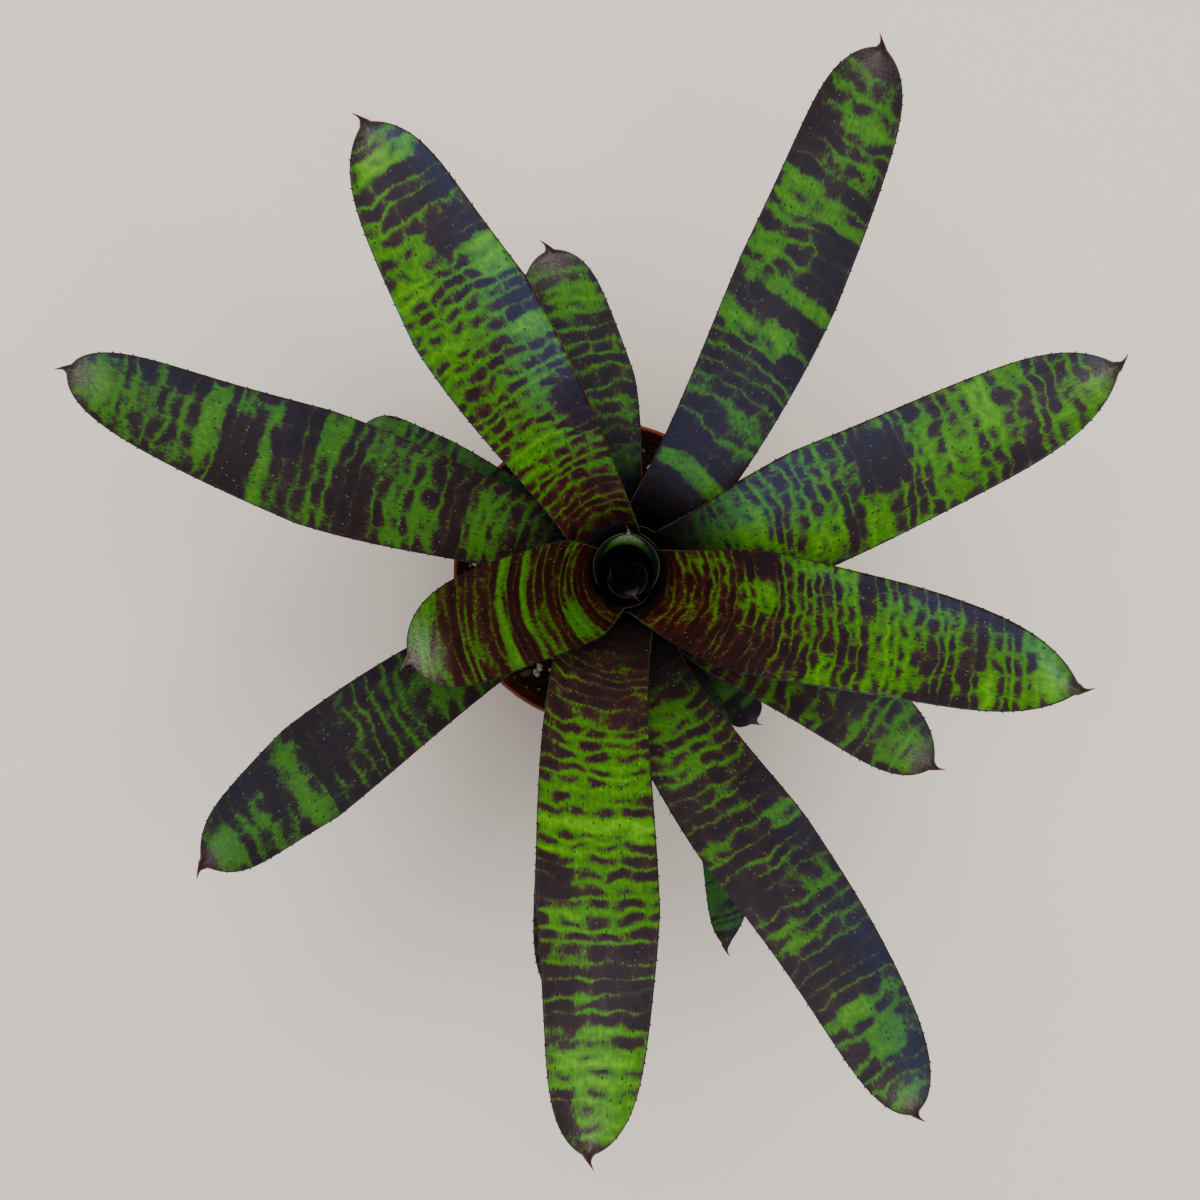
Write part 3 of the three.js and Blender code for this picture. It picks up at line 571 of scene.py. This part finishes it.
def arc(centre, radii, start, end, count):
    """Points on an ellipse from one angle to another, as (distance from axis, height)."""
    turns = np.linspace(start, end, count)
    return np.stack([centre[0] + radii[0] * np.cos(turns),
                     centre[1] + radii[1] * np.sin(turns)], 1)


def lay_midrib(leaf):
    """Finds the midrib's line and its lengths up to the throat, past the flare and to the tip."""
    quarter = math.pi / 2
    rise, droop = math.radians(leaf["rise"]), math.radians(leaf["droop"])
    start = stem_radius(leaf["base"]) + LEAF_THICKNESS
    shell, throat = leaf["shell"], leaf["throat"]
    belly = leaf["base"] + BOWL_HEIGHT
    flare_x = shell + FLARE_RADIUS
    blade_x = flare_x - FLARE_RADIUS * math.sin(rise)
    blade_z = throat + FLARE_RADIUS * math.cos(rise)
    bend = (leaf["reach"] - blade_x) / (math.sin(rise) - math.sin(droop))
    bowl = arc((start, belly), (shell - start, BOWL_HEIGHT), -quarter, 0, 300)
    flare = arc((flare_x, throat), (FLARE_RADIUS,) * 2, math.pi, quarter + rise, 80)
    blade = arc((blade_x + bend * math.sin(rise), blade_z - bend * math.cos(rise)), (bend,) * 2,
                quarter + rise, quarter + droop, 300)
    line = np.concatenate([bowl, flare, blade])
    steps = np.linalg.norm(np.diff(line, axis=0), axis=1)
    leaf["line"] = line
    leaf["travel"] = np.concatenate([[0], np.cumsum(steps)])
    leaf["sheath"] = leaf["travel"][len(bowl)]
    leaf["flare"] = leaf["travel"][len(bowl) + len(flare) - 1]
    leaf["length"] = leaf["travel"][-1]


for order, leaf in enumerate(LEAVES.values()):
    usual = dict(
        order=order, drift=0, sway=0, neck=0.72, channel=3, twist=0,
        base=BASE_HEIGHT + BASE_STEP * order, shell=SHELL_RADIUS + SHELL_STEP * order,
        throat=THROAT_HEIGHT + THROAT_STEP * order, dusk=DUSK_REACH + DUSK_STEP * order,
        lean=0, lit=FULLY_LIT, rim=0.22, dust=16, bands=[])
    leaf.update({**usual, **leaf})
    lay_midrib(leaf)


def half_width(leaf, along):
    """Half the leaf's width, in millimetres, at distances along it."""
    sheath = leaf["sheath"]
    widest = leaf["width"] / 2
    neck = widest * leaf["neck"]
    below = SHEATH_HALF_WIDTH + (neck - SHEATH_HALF_WIDTH) * eased(along / sheath, 0.3, 1)
    share = np.clip((along - sheath) / (leaf["length"] - sheath), 0, 1)
    inner = neck + (widest - neck) * eased(share, 0, leaf["widest"])
    beyond = np.clip((share - leaf["widest"]) / (1 - leaf["widest"]), 0, 1)
    outer = widest * (1 - leaf["taper"] * beyond) * (1 - beyond ** 8) ** leaf["point"]
    outer = (outer ** 4 + TIP_ROOT_HALF_WIDTH ** 4) ** 0.25
    blade = np.where(share < leaf["widest"], inner, outer)
    left = 1 - np.clip((along - leaf["length"]) / MUCRO_LENGTH, 0, 1)
    fineness = MUCRO_POINT_SHARE + (1 - MUCRO_POINT_SHARE) * left ** 2.2
    return np.where(along < sheath, below, blade) * fineness


def strap_point(leaf, along, side):
    """Points of the leaf's middle surface; side runs from -1 at one margin to 1 at the other."""
    # The midrib's place, and past the blade's end the sharp tip, bent up and to one side.
    on_blade = np.clip(along, 0, leaf["length"])
    reach = np.interp(on_blade, leaf["travel"], leaf["line"][:, 0])
    height = np.interp(on_blade, leaf["travel"], leaf["line"][:, 1])
    past = np.maximum(along - leaf["length"], 0)
    droop = math.radians(leaf["droop"])
    reach = reach + past * math.cos(droop) * math.cos(MUCRO_SWING)
    aside = past ** 2 / MUCRO_LENGTH * math.cos(droop) * math.sin(MUCRO_SWING) / reach
    height = height + past * math.sin(droop) + MUCRO_LIFT * (past / MUCRO_LENGTH) ** 2
    # Round the axis: the width wraps the stem at the sheath and runs straight on the blade.
    share = np.maximum((along - leaf["sheath"]) / (leaf["length"] - leaf["sheath"]), 0)
    width = half_width(leaf, along)
    wrap = width / reach
    held = wrap / (1 + (wrap / MOST_WRAP) ** 4) ** 0.25
    opened = eased(reach, CHANNEL_START, CHANNEL_FULL)
    turn = math.radians(leaf["twist"]) * opened * side
    swing = leaf["drift"] * share + leaf["sway"] * np.sin(np.pi * share)
    angle = np.radians(leaf["heading"] + swing) + aside + held * side * np.cos(turn)
    # Up from the midrib: the channel, the twist and the wavy margins.
    ripple = RIPPLE_HEIGHT * np.sin(2 * np.pi * along / RIPPLE_LENGTH + 2 * leaf["order"])
    lift = leaf["channel"] * side ** 2 + width * np.sin(turn) + ripple * side
    fade = 1 - past / MUCRO_LENGTH
    return np.stack([ROSETTE_X + reach * np.cos(angle), ROSETTE_Y + reach * np.sin(angle),
                     height + lift * opened * fade], -1)


def strap_normal(leaf, along, side):
    """The direction that the leaf's upper face looks in."""
    outward = strap_point(leaf, along + 0.3, side) - strap_point(leaf, along - 0.3, side)
    across_to = strap_point(leaf, along, side + 0.02) - strap_point(leaf, along, side - 0.02)
    normal = np.cross(outward, across_to)
    return normal / np.linalg.norm(normal, axis=-1, keepdims=True)


def row_places(leaf):
    """Distances along the leaf for its rows: even on the blade, closer where the tip rounds."""
    tip_start = leaf["length"] - min(TIP_STRETCH, 0.5 * (leaf["length"] - leaf["sheath"]))
    even = np.linspace(0, tip_start, int(tip_start / ROW_PITCH), endpoint=False)
    left = 1 - np.arange(TIP_ROWS) / TIP_ROWS
    tip = leaf["length"] - (leaf["length"] - tip_start) * left ** 2
    mucro = leaf["length"] + MUCRO_LENGTH * np.linspace(0, 1, MUCRO_ROWS)
    return np.concatenate([even, tip, mucro])


def leaf_mesh(leaf):
    """The leaf as a closed bmesh, and for each vertex its place along, its side and its face."""
    rows = row_places(leaf)
    bm = bmesh.new()
    for _ in ("upper face", "lower face"):
        bmesh.ops.create_grid(bm, x_segments=len(rows) - 1, y_segments=STRIPS, size=1)
    bm.verts.ensure_lookup_table()
    bm.faces.ensure_lookup_table()
    flat = np.array([vert.co for vert in bm.verts])
    row = np.rint((flat[:, 0] + 1) / 2 * (len(rows) - 1)).astype(int)
    along = rows[row]
    side = MARGIN_CROWDING * np.sin(flat[:, 1] * math.pi / 2) + (1 - MARGIN_CROWDING) * flat[:, 1]
    under = np.arange(len(flat)) >= len(flat) // 2
    past = np.clip((along - leaf["length"]) / MUCRO_LENGTH, 0, 1)
    thickness = LEAF_THICKNESS + (MARGIN_THICKNESS - LEAF_THICKNESS) * np.abs(side) ** 5
    offset = np.where(under, -0.5, 0.5) * thickness * (1 - MUCRO_THINNING * past)
    points = strap_point(leaf, along, side) + strap_normal(leaf, along, side) * offset[:, None]
    for vert, point in zip(bm.verts, points):
        vert.co = point * MM
    lower = [face for face in bm.faces if face.verts[0].index >= len(flat) // 2]
    bmesh.ops.reverse_faces(bm, faces=lower)
    rims = [edge for edge in bm.edges if edge.is_boundary]
    bmesh.ops.bridge_loops(bm, edges=rims)
    bmesh.ops.recalc_face_normals(bm, faces=bm.faces[:])
    return bm, along, side, under


BAND_SOFT_ALONG = 1.6
BAND_SOFT_ACROSS = 0.12
MARGIN_DARKENING = 0.15
# How near black the throat is made: its dark pigment and painted shade deep in the cup.
THROAT_PIGMENT_AND_SHADE = 0.97
SEED_STEP = 17.3


def within(value, start, end, soft):
    """1 from start to end and 0 outside, with soft edges."""
    return eased(value, start - soft, start + soft) * (1 - eased(value, end - soft, end + soft))


def patchwork(leaf, along, side):
    """How green (above 0) or dark (below 0) the blade is made at each place."""
    level = leaf["green"] - MARGIN_DARKENING * eased(np.abs(side), 0.8, 0.97)
    shifted = along - leaf["sheath"] - leaf["lean"] * side * leaf["width"] / 2
    for start, end, low, high, strength in leaf["bands"]:
        lengthwise = within(shifted, start, end, BAND_SOFT_ALONG)
        level += strength * lengthwise * within(side, low, high, BAND_SOFT_ACROSS)
    return level


def skin_values(leaf, along, side, under):
    """What the leaf skin reads at each vertex: five layers of three numbers."""
    width = half_width(leaf, along)
    from_throat = along - leaf["sheath"]
    share = np.clip(from_throat / (leaf["length"] - leaf["sheath"]), 0, 1)
    across_mm = side * width
    seed = SEED_STEP * leaf["order"]
    shifted = from_throat - leaf["lean"] * across_mm
    to_tip = np.hypot(np.maximum(leaf["length"] - along, 0), across_mm)
    red = leaf["red"][0] + (leaf["red"][1] - leaf["red"][0]) * eased(share, 0.1, 0.75)
    # rolled is the part of a rolled leaf's width that lies in shade, and shaded the throat: both
    # are painted near black, and rolled also leaves off the scurf and the dusky tip.
    rolled = eased(np.abs(side), leaf["lit"] - 0.2, leaf["lit"] + 0.1)
    dusty = 1 - eased(to_tip, 2, leaf["dust"])
    capped = 1 - eased(to_tip, leaf["cap"] * 0.6, leaf["cap"] * 1.5 + 1)
    shaded = 1 - eased(from_throat, 0.25 * leaf["dusk"], leaf["dusk"])
    mottled = np.maximum(leaf["deep"], 1 - eased(from_throat, 10, 60))
    layers = {
        # Rows of dark patches along, patches across, and the leaf's own seed.
        "bands": (shifted / leaf["cell"][0] + seed, across_mm / leaf["cell"][1] + seed, seed),
        # Millimetres from the throat, from the midrib, and in from the nearer margin.
        "place": (from_throat, across_mm, width * (1 - np.abs(side))),
        # Green or dark, maroon, and how deep the green is: an older leaf's colour and painted
        # shade.
        "tone": (patchwork(leaf, along, side), red, leaf["deep"]),
        # Silvery scurf, the underside, and the dusky tip, with scurf and tip left off in painted
        # shade.
        "finish": (leaf["scurf"] * dusty * (1 - rolled), under * 1.0, capped * (1 - rolled)),
        # The throat's near black (dark pigment and painted shade), the pale rim, and how mottled
        # the bands' edges are.
        "throat": (THROAT_PIGMENT_AND_SHADE * np.maximum(shaded, rolled),
                   leaf["rim"] * (1 - eased(from_throat, 5, 40)), mottled),
    }
    return {name: np.stack([np.broadcast_to(part, side.shape) for part in parts], 1)
            for name, parts in layers.items()}


# Spines about a millimetre long, which stand closer near the tip.
SPINE_PITCH = 6.2
TIP_SPINE_PITCH = 3.3
TIP_SPINE_REACH = 26
SPINE_LENGTH = 1.15
SPINE_RADIUS = 0.34
SPINE_POINT_RADIUS = 0.03
SPINE_LEAN = 0.9
SPINE_ROOT_DEPTH = 0.25


def add_spines(bm, leaf):
    """Small horny spines on both margins, leaning towards the tip."""
    crowded = np.arange(leaf["length"] - TIP_SPINE_REACH, leaf["length"] - 4, TIP_SPINE_PITCH)
    spread = np.arange(leaf["flare"] + 2, crowded[0] - 3, SPINE_PITCH)
    even = np.concatenate([spread, crowded])
    for edge in (-1, 1):
        places = even + np.array([rng.uniform(-1, 1) for _ in even])
        sides = np.full(len(places), float(edge))
        roots = strap_point(leaf, places, sides)
        outs = roots - strap_point(leaf, places, sides * 0.85)
        aheads = strap_point(leaf, places + 1, sides) - roots
        for root, out, ahead in zip(roots, outs, aheads):
            out = Vector(out).normalized()
            lean = (out + SPINE_LEAN * Vector(ahead).normalized()).normalized()
            length = SPINE_LENGTH * rng.uniform(0.7, 1.1)
            middle = Vector(root) - SPINE_ROOT_DEPTH * out + lean * length / 2
            turn = lean.to_track_quat("Z", "Y").to_matrix().to_4x4()
            cone = bmesh.ops.create_cone(
                bm, cap_ends=True, segments=5, radius1=SPINE_RADIUS * MM,
                radius2=SPINE_POINT_RADIUS * MM, depth=length * MM,
                matrix=Matrix.Translation(middle * MM) @ turn)
            for face in {face for vert in cone["verts"] for face in vert.link_faces}:
                face.material_index = 1


# How far each pattern moves the rows and patches, and how much pigment it gives or takes.
ROW_DRIFT = 1.7
ROW_RIPPLE = 1.1
CELL_RIPPLE = 0.7
PATCH_FORCE = 2.8
PATCH_UNEVENNESS = 0.45
PATCH_ROUNDING = 0.34
SIDE_JOIN = 0.74
OPEN_FORCE = 0.85
BASE_PIGMENT = -0.45
BLOTCH_FORCE = 1.9
BAR_FORCE = 1.2
FRAY_FORCE = 0.22
FUZZ_FORCE = 0.5

# Living leaf: a waxy skin over green, crossed by bands of dark red and purple pigment. Fine
# veins run lengthwise, pale scales lie on the tips and the underside, and the skin has a
# soft satin shine.
leaf_skin, add, shader = new_material("banded_leaf_skin")
bands, place, tone, finish, depth = [
    add("Attribute", out="Vector", attribute_name=layer)
    for layer in ("bands", "place", "tone", "finish", "throat")]
rows_at, cells_at, _ = add("SeparateXYZ", {0: bands}, None).outputs
to_margin = add("SeparateXYZ", {0: place}, 2)
level, redness, deepness = add("SeparateXYZ", {0: tone}, None).outputs
scurf, underside, tip_cap = add("SeparateXYZ", {0: finish}, None).outputs
throat_pigment_and_shade, pale_share, mottle_share = add("SeparateXYZ", {0: depth}, None).outputs

# Noise over the rows and patches, or over the blade's millimetres: what each is drawn on, how
# often it turns along and across, its detail, its roughness, and which output is read.
fields = []
for drawn_on, along, across, detail, roughness, output in (
        (bands, 0.3, 0.14, 1, 0.5, 0),      # drift: spreads and crowds the rows
        (bands, 0.5, 1.0, 1.5, 0.5, 1),     # ripples: make rows and patches wavy
        (bands, 0.28, 0.36, 3, 0.5, 0),     # blotch: green and dark stretches
        (place, 0.55, 0.6, 4, 0.62, 0),     # fray: breaks the edges of the bands
        (place, 0.5, 2.4, 3, 0.5, 0),       # fuzz: draws those edges out along the veins
        (place, 0.045, 1.7, 3, 0.5, 0),     # streaks: the veins, 0.6 mm apart
        (place, 1.1, 2.0, 5, 0.7, 0),       # powder: grains of scurf, under a millimetre
        (place, 0.16, 0.02, 2, 0.5, 0)):    # stripe: pale bars on the underside, 6 mm apart
    at = add("VectorMath", {0: drawn_on, 1: (along, across, 0)}, operation="MULTIPLY")
    fields.append(add("TexNoise", {"Vector": at, "Scale": 1, "Detail": detail,
                                   "Roughness": roughness}, output, noise_dimensions="2D"))
drift, ripples, blotch, fray, fuzz, streaks, powder, stripe = fields

# Rows of dark patches cross the blade, and each row starts its patches at a place of its own.
# A patch is darkest in its middle, and its sides join those of its neighbours.
along_by, across_by, _ = add("SeparateColor", {0: ripples}, None).outputs
row = add("Math", {0: drift, 1: ROW_DRIFT, 2: rows_at}, operation="MULTIPLY_ADD")
row = add("Math", {0: along_by, 1: ROW_RIPPLE, 2: row}, operation="MULTIPLY_ADD")
row_number = add("Math", {0: row}, operation="ROUND")
row_start = add("TexWhiteNoise", {"W": row_number}, noise_dimensions="1D")
cell = add("Math", {0: cells_at, 1: row_start})
cell = add("Math", {0: across_by, 1: CELL_RIPPLE, 2: cell}, operation="MULTIPLY_ADD")
from_row = add("Math", {0: row, 1: 0.5}, operation="PINGPONG")
from_cell = add("Math", {0: cell, 1: 0.5}, operation="PINGPONG")
from_cell = add("Math", {0: from_cell, 1: SIDE_JOIN}, operation="MULTIPLY")
from_middle = add("Math", {0: from_row, 1: from_cell, 2: PATCH_ROUNDING},
                  operation="SMOOTH_MAX")
cell_number = add("Math", {0: cell}, operation="ROUND")
patch_key = add("CombineXYZ", {0: row_number, 1: cell_number})
patch_size = add("TexWhiteNoise", {"Vector": patch_key}, noise_dimensions="2D")
patch_size = add("MapRange", {0: patch_size, 3: (1 - PATCH_UNEVENNESS) * PATCH_FORCE / 2,
                              4: (1 + PATCH_UNEVENNESS) * PATCH_FORCE / 2})
patch = add("MapRange", {0: from_middle, 1: 0.5, 2: 0, 4: patch_size})

# Where the blade is green the patches shrink and part; where it is dark they run together.
bar_at = add("CombineXYZ", {0: row, 1: cells_at})
bar_at = add("VectorMath", {0: bar_at, 1: (0.75, 0.34, 0)}, operation="MULTIPLY")
bar = add("TexNoise", {"Vector": bar_at, "Scale": 1, "Detail": 2}, noise_dimensions="2D")
openness = add("Math", {0: blotch, 1: BLOTCH_FORCE, 2: level}, operation="MULTIPLY_ADD")
openness = add("Math", {0: bar, 1: BAR_FORCE, 2: openness}, operation="MULTIPLY_ADD")
middle = (BLOTCH_FORCE + BAR_FORCE) / 2 + BASE_PIGMENT
shut = add("Math", {0: middle, 1: openness}, operation="SUBTRACT")
pigment = add("Math", {0: shut, 1: OPEN_FORCE, 2: patch}, operation="MULTIPLY_ADD")
frayed = add("MapRange", {0: mottle_share, 3: 1, 4: 3.4})
fray_by = add("MapRange", {0: fray, 3: -FRAY_FORCE, 4: FRAY_FORCE})
pigment = add("Math", {0: fray_by, 1: frayed, 2: pigment}, operation="MULTIPLY_ADD")
fuzz_by = add("MapRange", {0: fuzz, 3: -FUZZ_FORCE, 4: FUZZ_FORCE})
pigment = add("Math", {0: pigment, 1: fuzz_by})
soft = add("MapRange", {0: mottle_share, 3: 0.3, 4: 0.52})
pigment = add("Math", {0: pigment, 1: soft}, operation="DIVIDE")
dark = add("MapRange", {0: pigment, 1: -1, 2: 1}, interpolation_type="SMOOTHSTEP")

# Green runs from yellow-green in the open patches to olive by the dark ones, and the pigment
# from reddish brown at a patch's edge to near black purple in its middle.
glow = add("MapRange", {0: pigment, 1: -1.2, 2: -4.5})
wash = add("MapRange", {0: fray, 1: 0.35, 2: 0.65, 4: 0.45})
# Deep leaves darken their green and bands: older leaves' colour, and painted shade on leaves that
# get less light.
age_and_shade_share = add("Math", {0: deepness, 1: 0.8}, operation="MULTIPLY")
core = add("MapRange", {0: pigment, 1: 0.3, 2: 2.6})
green, dusk, maroon = [
    add("Mix", {0: share, 6: linear(edge), 7: linear(heart)}, **COLOR_MIX)
    for share, edge, heart in ((glow, "#3f7a08", "#60a608"), (core, "#36292b", "#282026"),
                               (core, "#45130b", "#220503"))]
for share, color in ((wash, "#2f5c10"), (age_and_shade_share, "#21450f")):
    green = add("Mix", {0: share, 6: green, 7: linear(color)}, **COLOR_MIX)
band_color = add("Mix", {0: redness, 6: dusk, 7: maroon}, **COLOR_MIX)
band_color = add("Mix", {0: age_and_shade_share, 6: band_color, 7: linear("#0c0304")}, **COLOR_MIX)

# Specks: dark green dots, a few to each square centimetre, and rarer single silvery scales.
# Each has its spacing, the channel of its cell's colour that picks it, where it fades out and
# in from its middle, and which picks show it, how strongly.
specks = []
for stretch, channel, fade_out, fade_in, pick_from, pick_to, strength in (
        ((0.22, 0.36, 1), 1, 0.13, 0.07, 0.6, 0.62, 0.85),
        ((1.1, 1.5, 1), 2, 0.3, 0.12, 0.985, 0.995, 0.38)):
    at = add("VectorMath", {0: place, 1: stretch}, operation="MULTIPLY")
    spots = add("TexVoronoi", {"Vector": at, "Scale": 1}, None, voronoi_dimensions="2D").outputs
    speck = add("MapRange", {0: spots["Distance"], 1: fade_out, 2: fade_in})
    pick = add("SeparateColor", {0: spots["Color"]}, channel)
    picked = add("MapRange", {0: pick, 1: pick_from, 2: pick_to, 4: strength})
    specks.append(add("Math", {0: speck, 1: picked}, operation="MULTIPLY"))
dot, fleck = specks

# Veins, the near black throat (dark pigment and painted shade deep in the cup), the dusky tip
# and the duller underside.
vein = add("MapRange", {0: streaks, 1: 0.4, 2: 0.62, 4: 0.15})
throat_color = add("Mix", {0: redness, 6: linear("#070405"), 7: linear("#120303")}, **COLOR_MIX)
cap_edge = add("MapRange", {0: fray, 1: 0.35, 2: 0.6, 3: 0.65, 4: 0.95})
cap_share = add("Math", {0: tip_cap, 1: cap_edge}, operation="MULTIPLY")
belly = add("Mix", {0: streaks, 6: linear("#2c4a2a"), 7: linear("#3a2c33")}, **COLOR_MIX)
belly_share = add("Math", {0: underside, 1: 0.45}, operation="MULTIPLY")

# Silvery scales: powdery on the tip, in cross bars on the underside, and odd flecks between.
powder = add("MapRange", {0: powder, 1: 0.35, 2: 0.72, 4: 0.5})
silver = add("Math", {0: powder, 1: scurf}, operation="MULTIPLY")
stripe = add("MapRange", {0: stripe, 1: 0.45, 2: 0.62, 4: 0.36})
stripe = add("Math", {0: stripe, 1: underside}, operation="MULTIPLY")
silver = add("Math", {0: silver, 1: stripe}, operation="MAXIMUM")
silver = add("Math", {0: silver, 1: fleck}, operation="MAXIMUM")

# The horny margin: dark, and pale near the throat.
margin = add("MapRange", {0: to_margin, 1: 0.4, 2: 0.1, 4: 0.75})
margin_color = add("Mix", {0: tip_cap, 6: linear("#22150f"), 7: linear("#56343a")}, **COLOR_MIX)
pale_rim = add("Math", {0: margin, 1: pale_share}, operation="MULTIPLY")

# All of it lies over the green, from the deepest layer to the outermost.
skin = green
for share, color in ((dark, band_color), (dot, linear("#0e1008")), (vein, linear("#16240a")),
                     (throat_pigment_and_shade, throat_color), (cap_share, linear("#3d2531")),
                     (belly_share, belly), (silver, linear("#a9b3a4")),
                     (margin, margin_color), (pale_rim, linear("#8b8570"))):
    skin = add("Mix", {0: share, 6: skin, 7: color}, **COLOR_MIX)

# A satin gloss, matter on old leaves and where the skin is silvered or deep in the throat.
veins = add("Math", {0: streaks, 1: 0.6, 2: fuzz}, operation="MULTIPLY_ADD")
bump = add("Bump", {"Height": veins, "Strength": 0.2, "Distance": 0.0004})
gloss = add("MapRange", {0: fuzz, 1: 0.25, 2: 0.75, 3: 0.3, 4: 0.44})
gloss = add("Math", {0: deepness, 1: 0.36, 2: gloss}, operation="MULTIPLY_ADD")
dull = add("Math", {0: silver, 1: throat_pigment_and_shade}, operation="MAXIMUM")
dull = add("Math", {0: dull, 1: 0.85}, operation="MULTIPLY")
gloss = add("Math", {0: gloss, 1: dull}, operation="MAXIMUM")
set_inputs(shader, {"Base Color": skin, "Roughness": gloss, "Normal": bump, "IOR": 1.45,
                    "Specular IOR Level": 0.35})

# Leaf horn: the spines are hard and dry, a dark brown that differs from spine to spine.
horn, add, shader = new_material("spine_horn")
where = add("TexCoord", out="Object")
mottle = add("TexNoise", {"Vector": where, "Scale": 900, "Detail": 2})
horn_color = add("Mix", {0: mottle, 6: linear("#150c0a"), 7: linear("#3d261e")}, **COLOR_MIX)
set_inputs(shader, {"Base Color": horn_color, "Roughness": 0.45})

# Every leaf in turn. The heart and tube leaves are rolled up in the cup, and show no spines.
for name, leaf in LEAVES.items():
    bm, along, side, under = leaf_mesh(leaf)
    blade_verts = len(bm.verts)
    if name not in ("heart", "tube"):
        add_spines(bm, leaf)
    piece = piece_from(bm, f"{name}_leaf", leaf_skin, horn)
    for attribute, data in skin_values(leaf, along, side, under).items():
        filled = np.zeros((len(piece.data.vertices), 3), np.float32)
        filled[:blade_verts] = data
        layer = piece.data.attributes.new(attribute, "FLOAT_VECTOR", "POINT")
        layer.data.foreach_set("vector", filled.ravel())
    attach(piece, "root")
    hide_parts(f"leaf_{name}")

# ---------- Floor, light and camera ----------
# A pale seamless floor under soft light: one big panel overhead, and a wide blue one low in
# the south-west, which gives the leaves that face it their sheen.

FLOOR_HALF_WIDTH_M = 3
floor_mesh = bmesh.new()
bmesh.ops.create_grid(floor_mesh, x_segments=2, y_segments=2, size=FLOOR_HALF_WIDTH_M)
paper, _, shader = new_material("pale_floor_paper")
set_inputs(shader, {"Base Color": linear("#f3ece2"), "Roughness": 0.9})
floor = piece_from(floor_mesh, "floor", paper)


def add_panel(name, place_m, aim_m, size_m, watts, color):
    """An oblong area light at a place, turned to face a point."""
    lamp = bpy.data.lights.new(name, "AREA")
    lamp.shape = "RECTANGLE"
    lamp.size, lamp.size_y = size_m
    lamp.energy = watts
    lamp.color = linear(color)[:3]
    stand = bpy.data.objects.new(name, lamp)
    stand.location = place_m
    stand.rotation_mode = "QUATERNION"
    stand.rotation_quaternion = (Vector(aim_m) - Vector(place_m)).to_track_quat("-Z", "Y")
    bpy.context.scene.collection.objects.link(stand)
    return stand


overhead = add_panel("overhead_panel", (0.2, 0.3, 2.4), (0, 0, 0.1), (2.2, 2.2), 96, "#fff8f0")
overhead.visible_glossy = False
sky = add_panel("sky_panel", (-0.9, -1.5, 1.0), (0, 0, 0.15), (3.4, 1.0), 54, "#7fb0ff")
sky.visible_diffuse = False
zenith = add_panel("zenith_panel", (0, 0, 2.3), (0, 0, 0), (2.8, 2.8), 30, "#cfe0ff")
zenith.visible_diffuse = False

world = bpy.data.worlds.new("studio")
bpy.context.scene.world = world
world.use_nodes = True
background = world.node_tree.nodes["Background"]
set_inputs(background, {"Color": linear("#dfe3ea"), "Strength": 0.16})

# The camera looks straight down from 760 mm above the floor, a little off the pot's middle.
CAMERA_PLACE_M = (-0.00185, -0.00931, 0.760)
CAMERA_LENS = 57.63
CAMERA_SENSOR = 36
camera_data = bpy.data.cameras.new("camera")
camera_data.lens = CAMERA_LENS
camera_data.sensor_width = CAMERA_SENSOR
camera = bpy.data.objects.new("camera", camera_data)
camera.location = CAMERA_PLACE_M
bpy.context.scene.collection.objects.link(camera)
bpy.context.scene.camera = camera
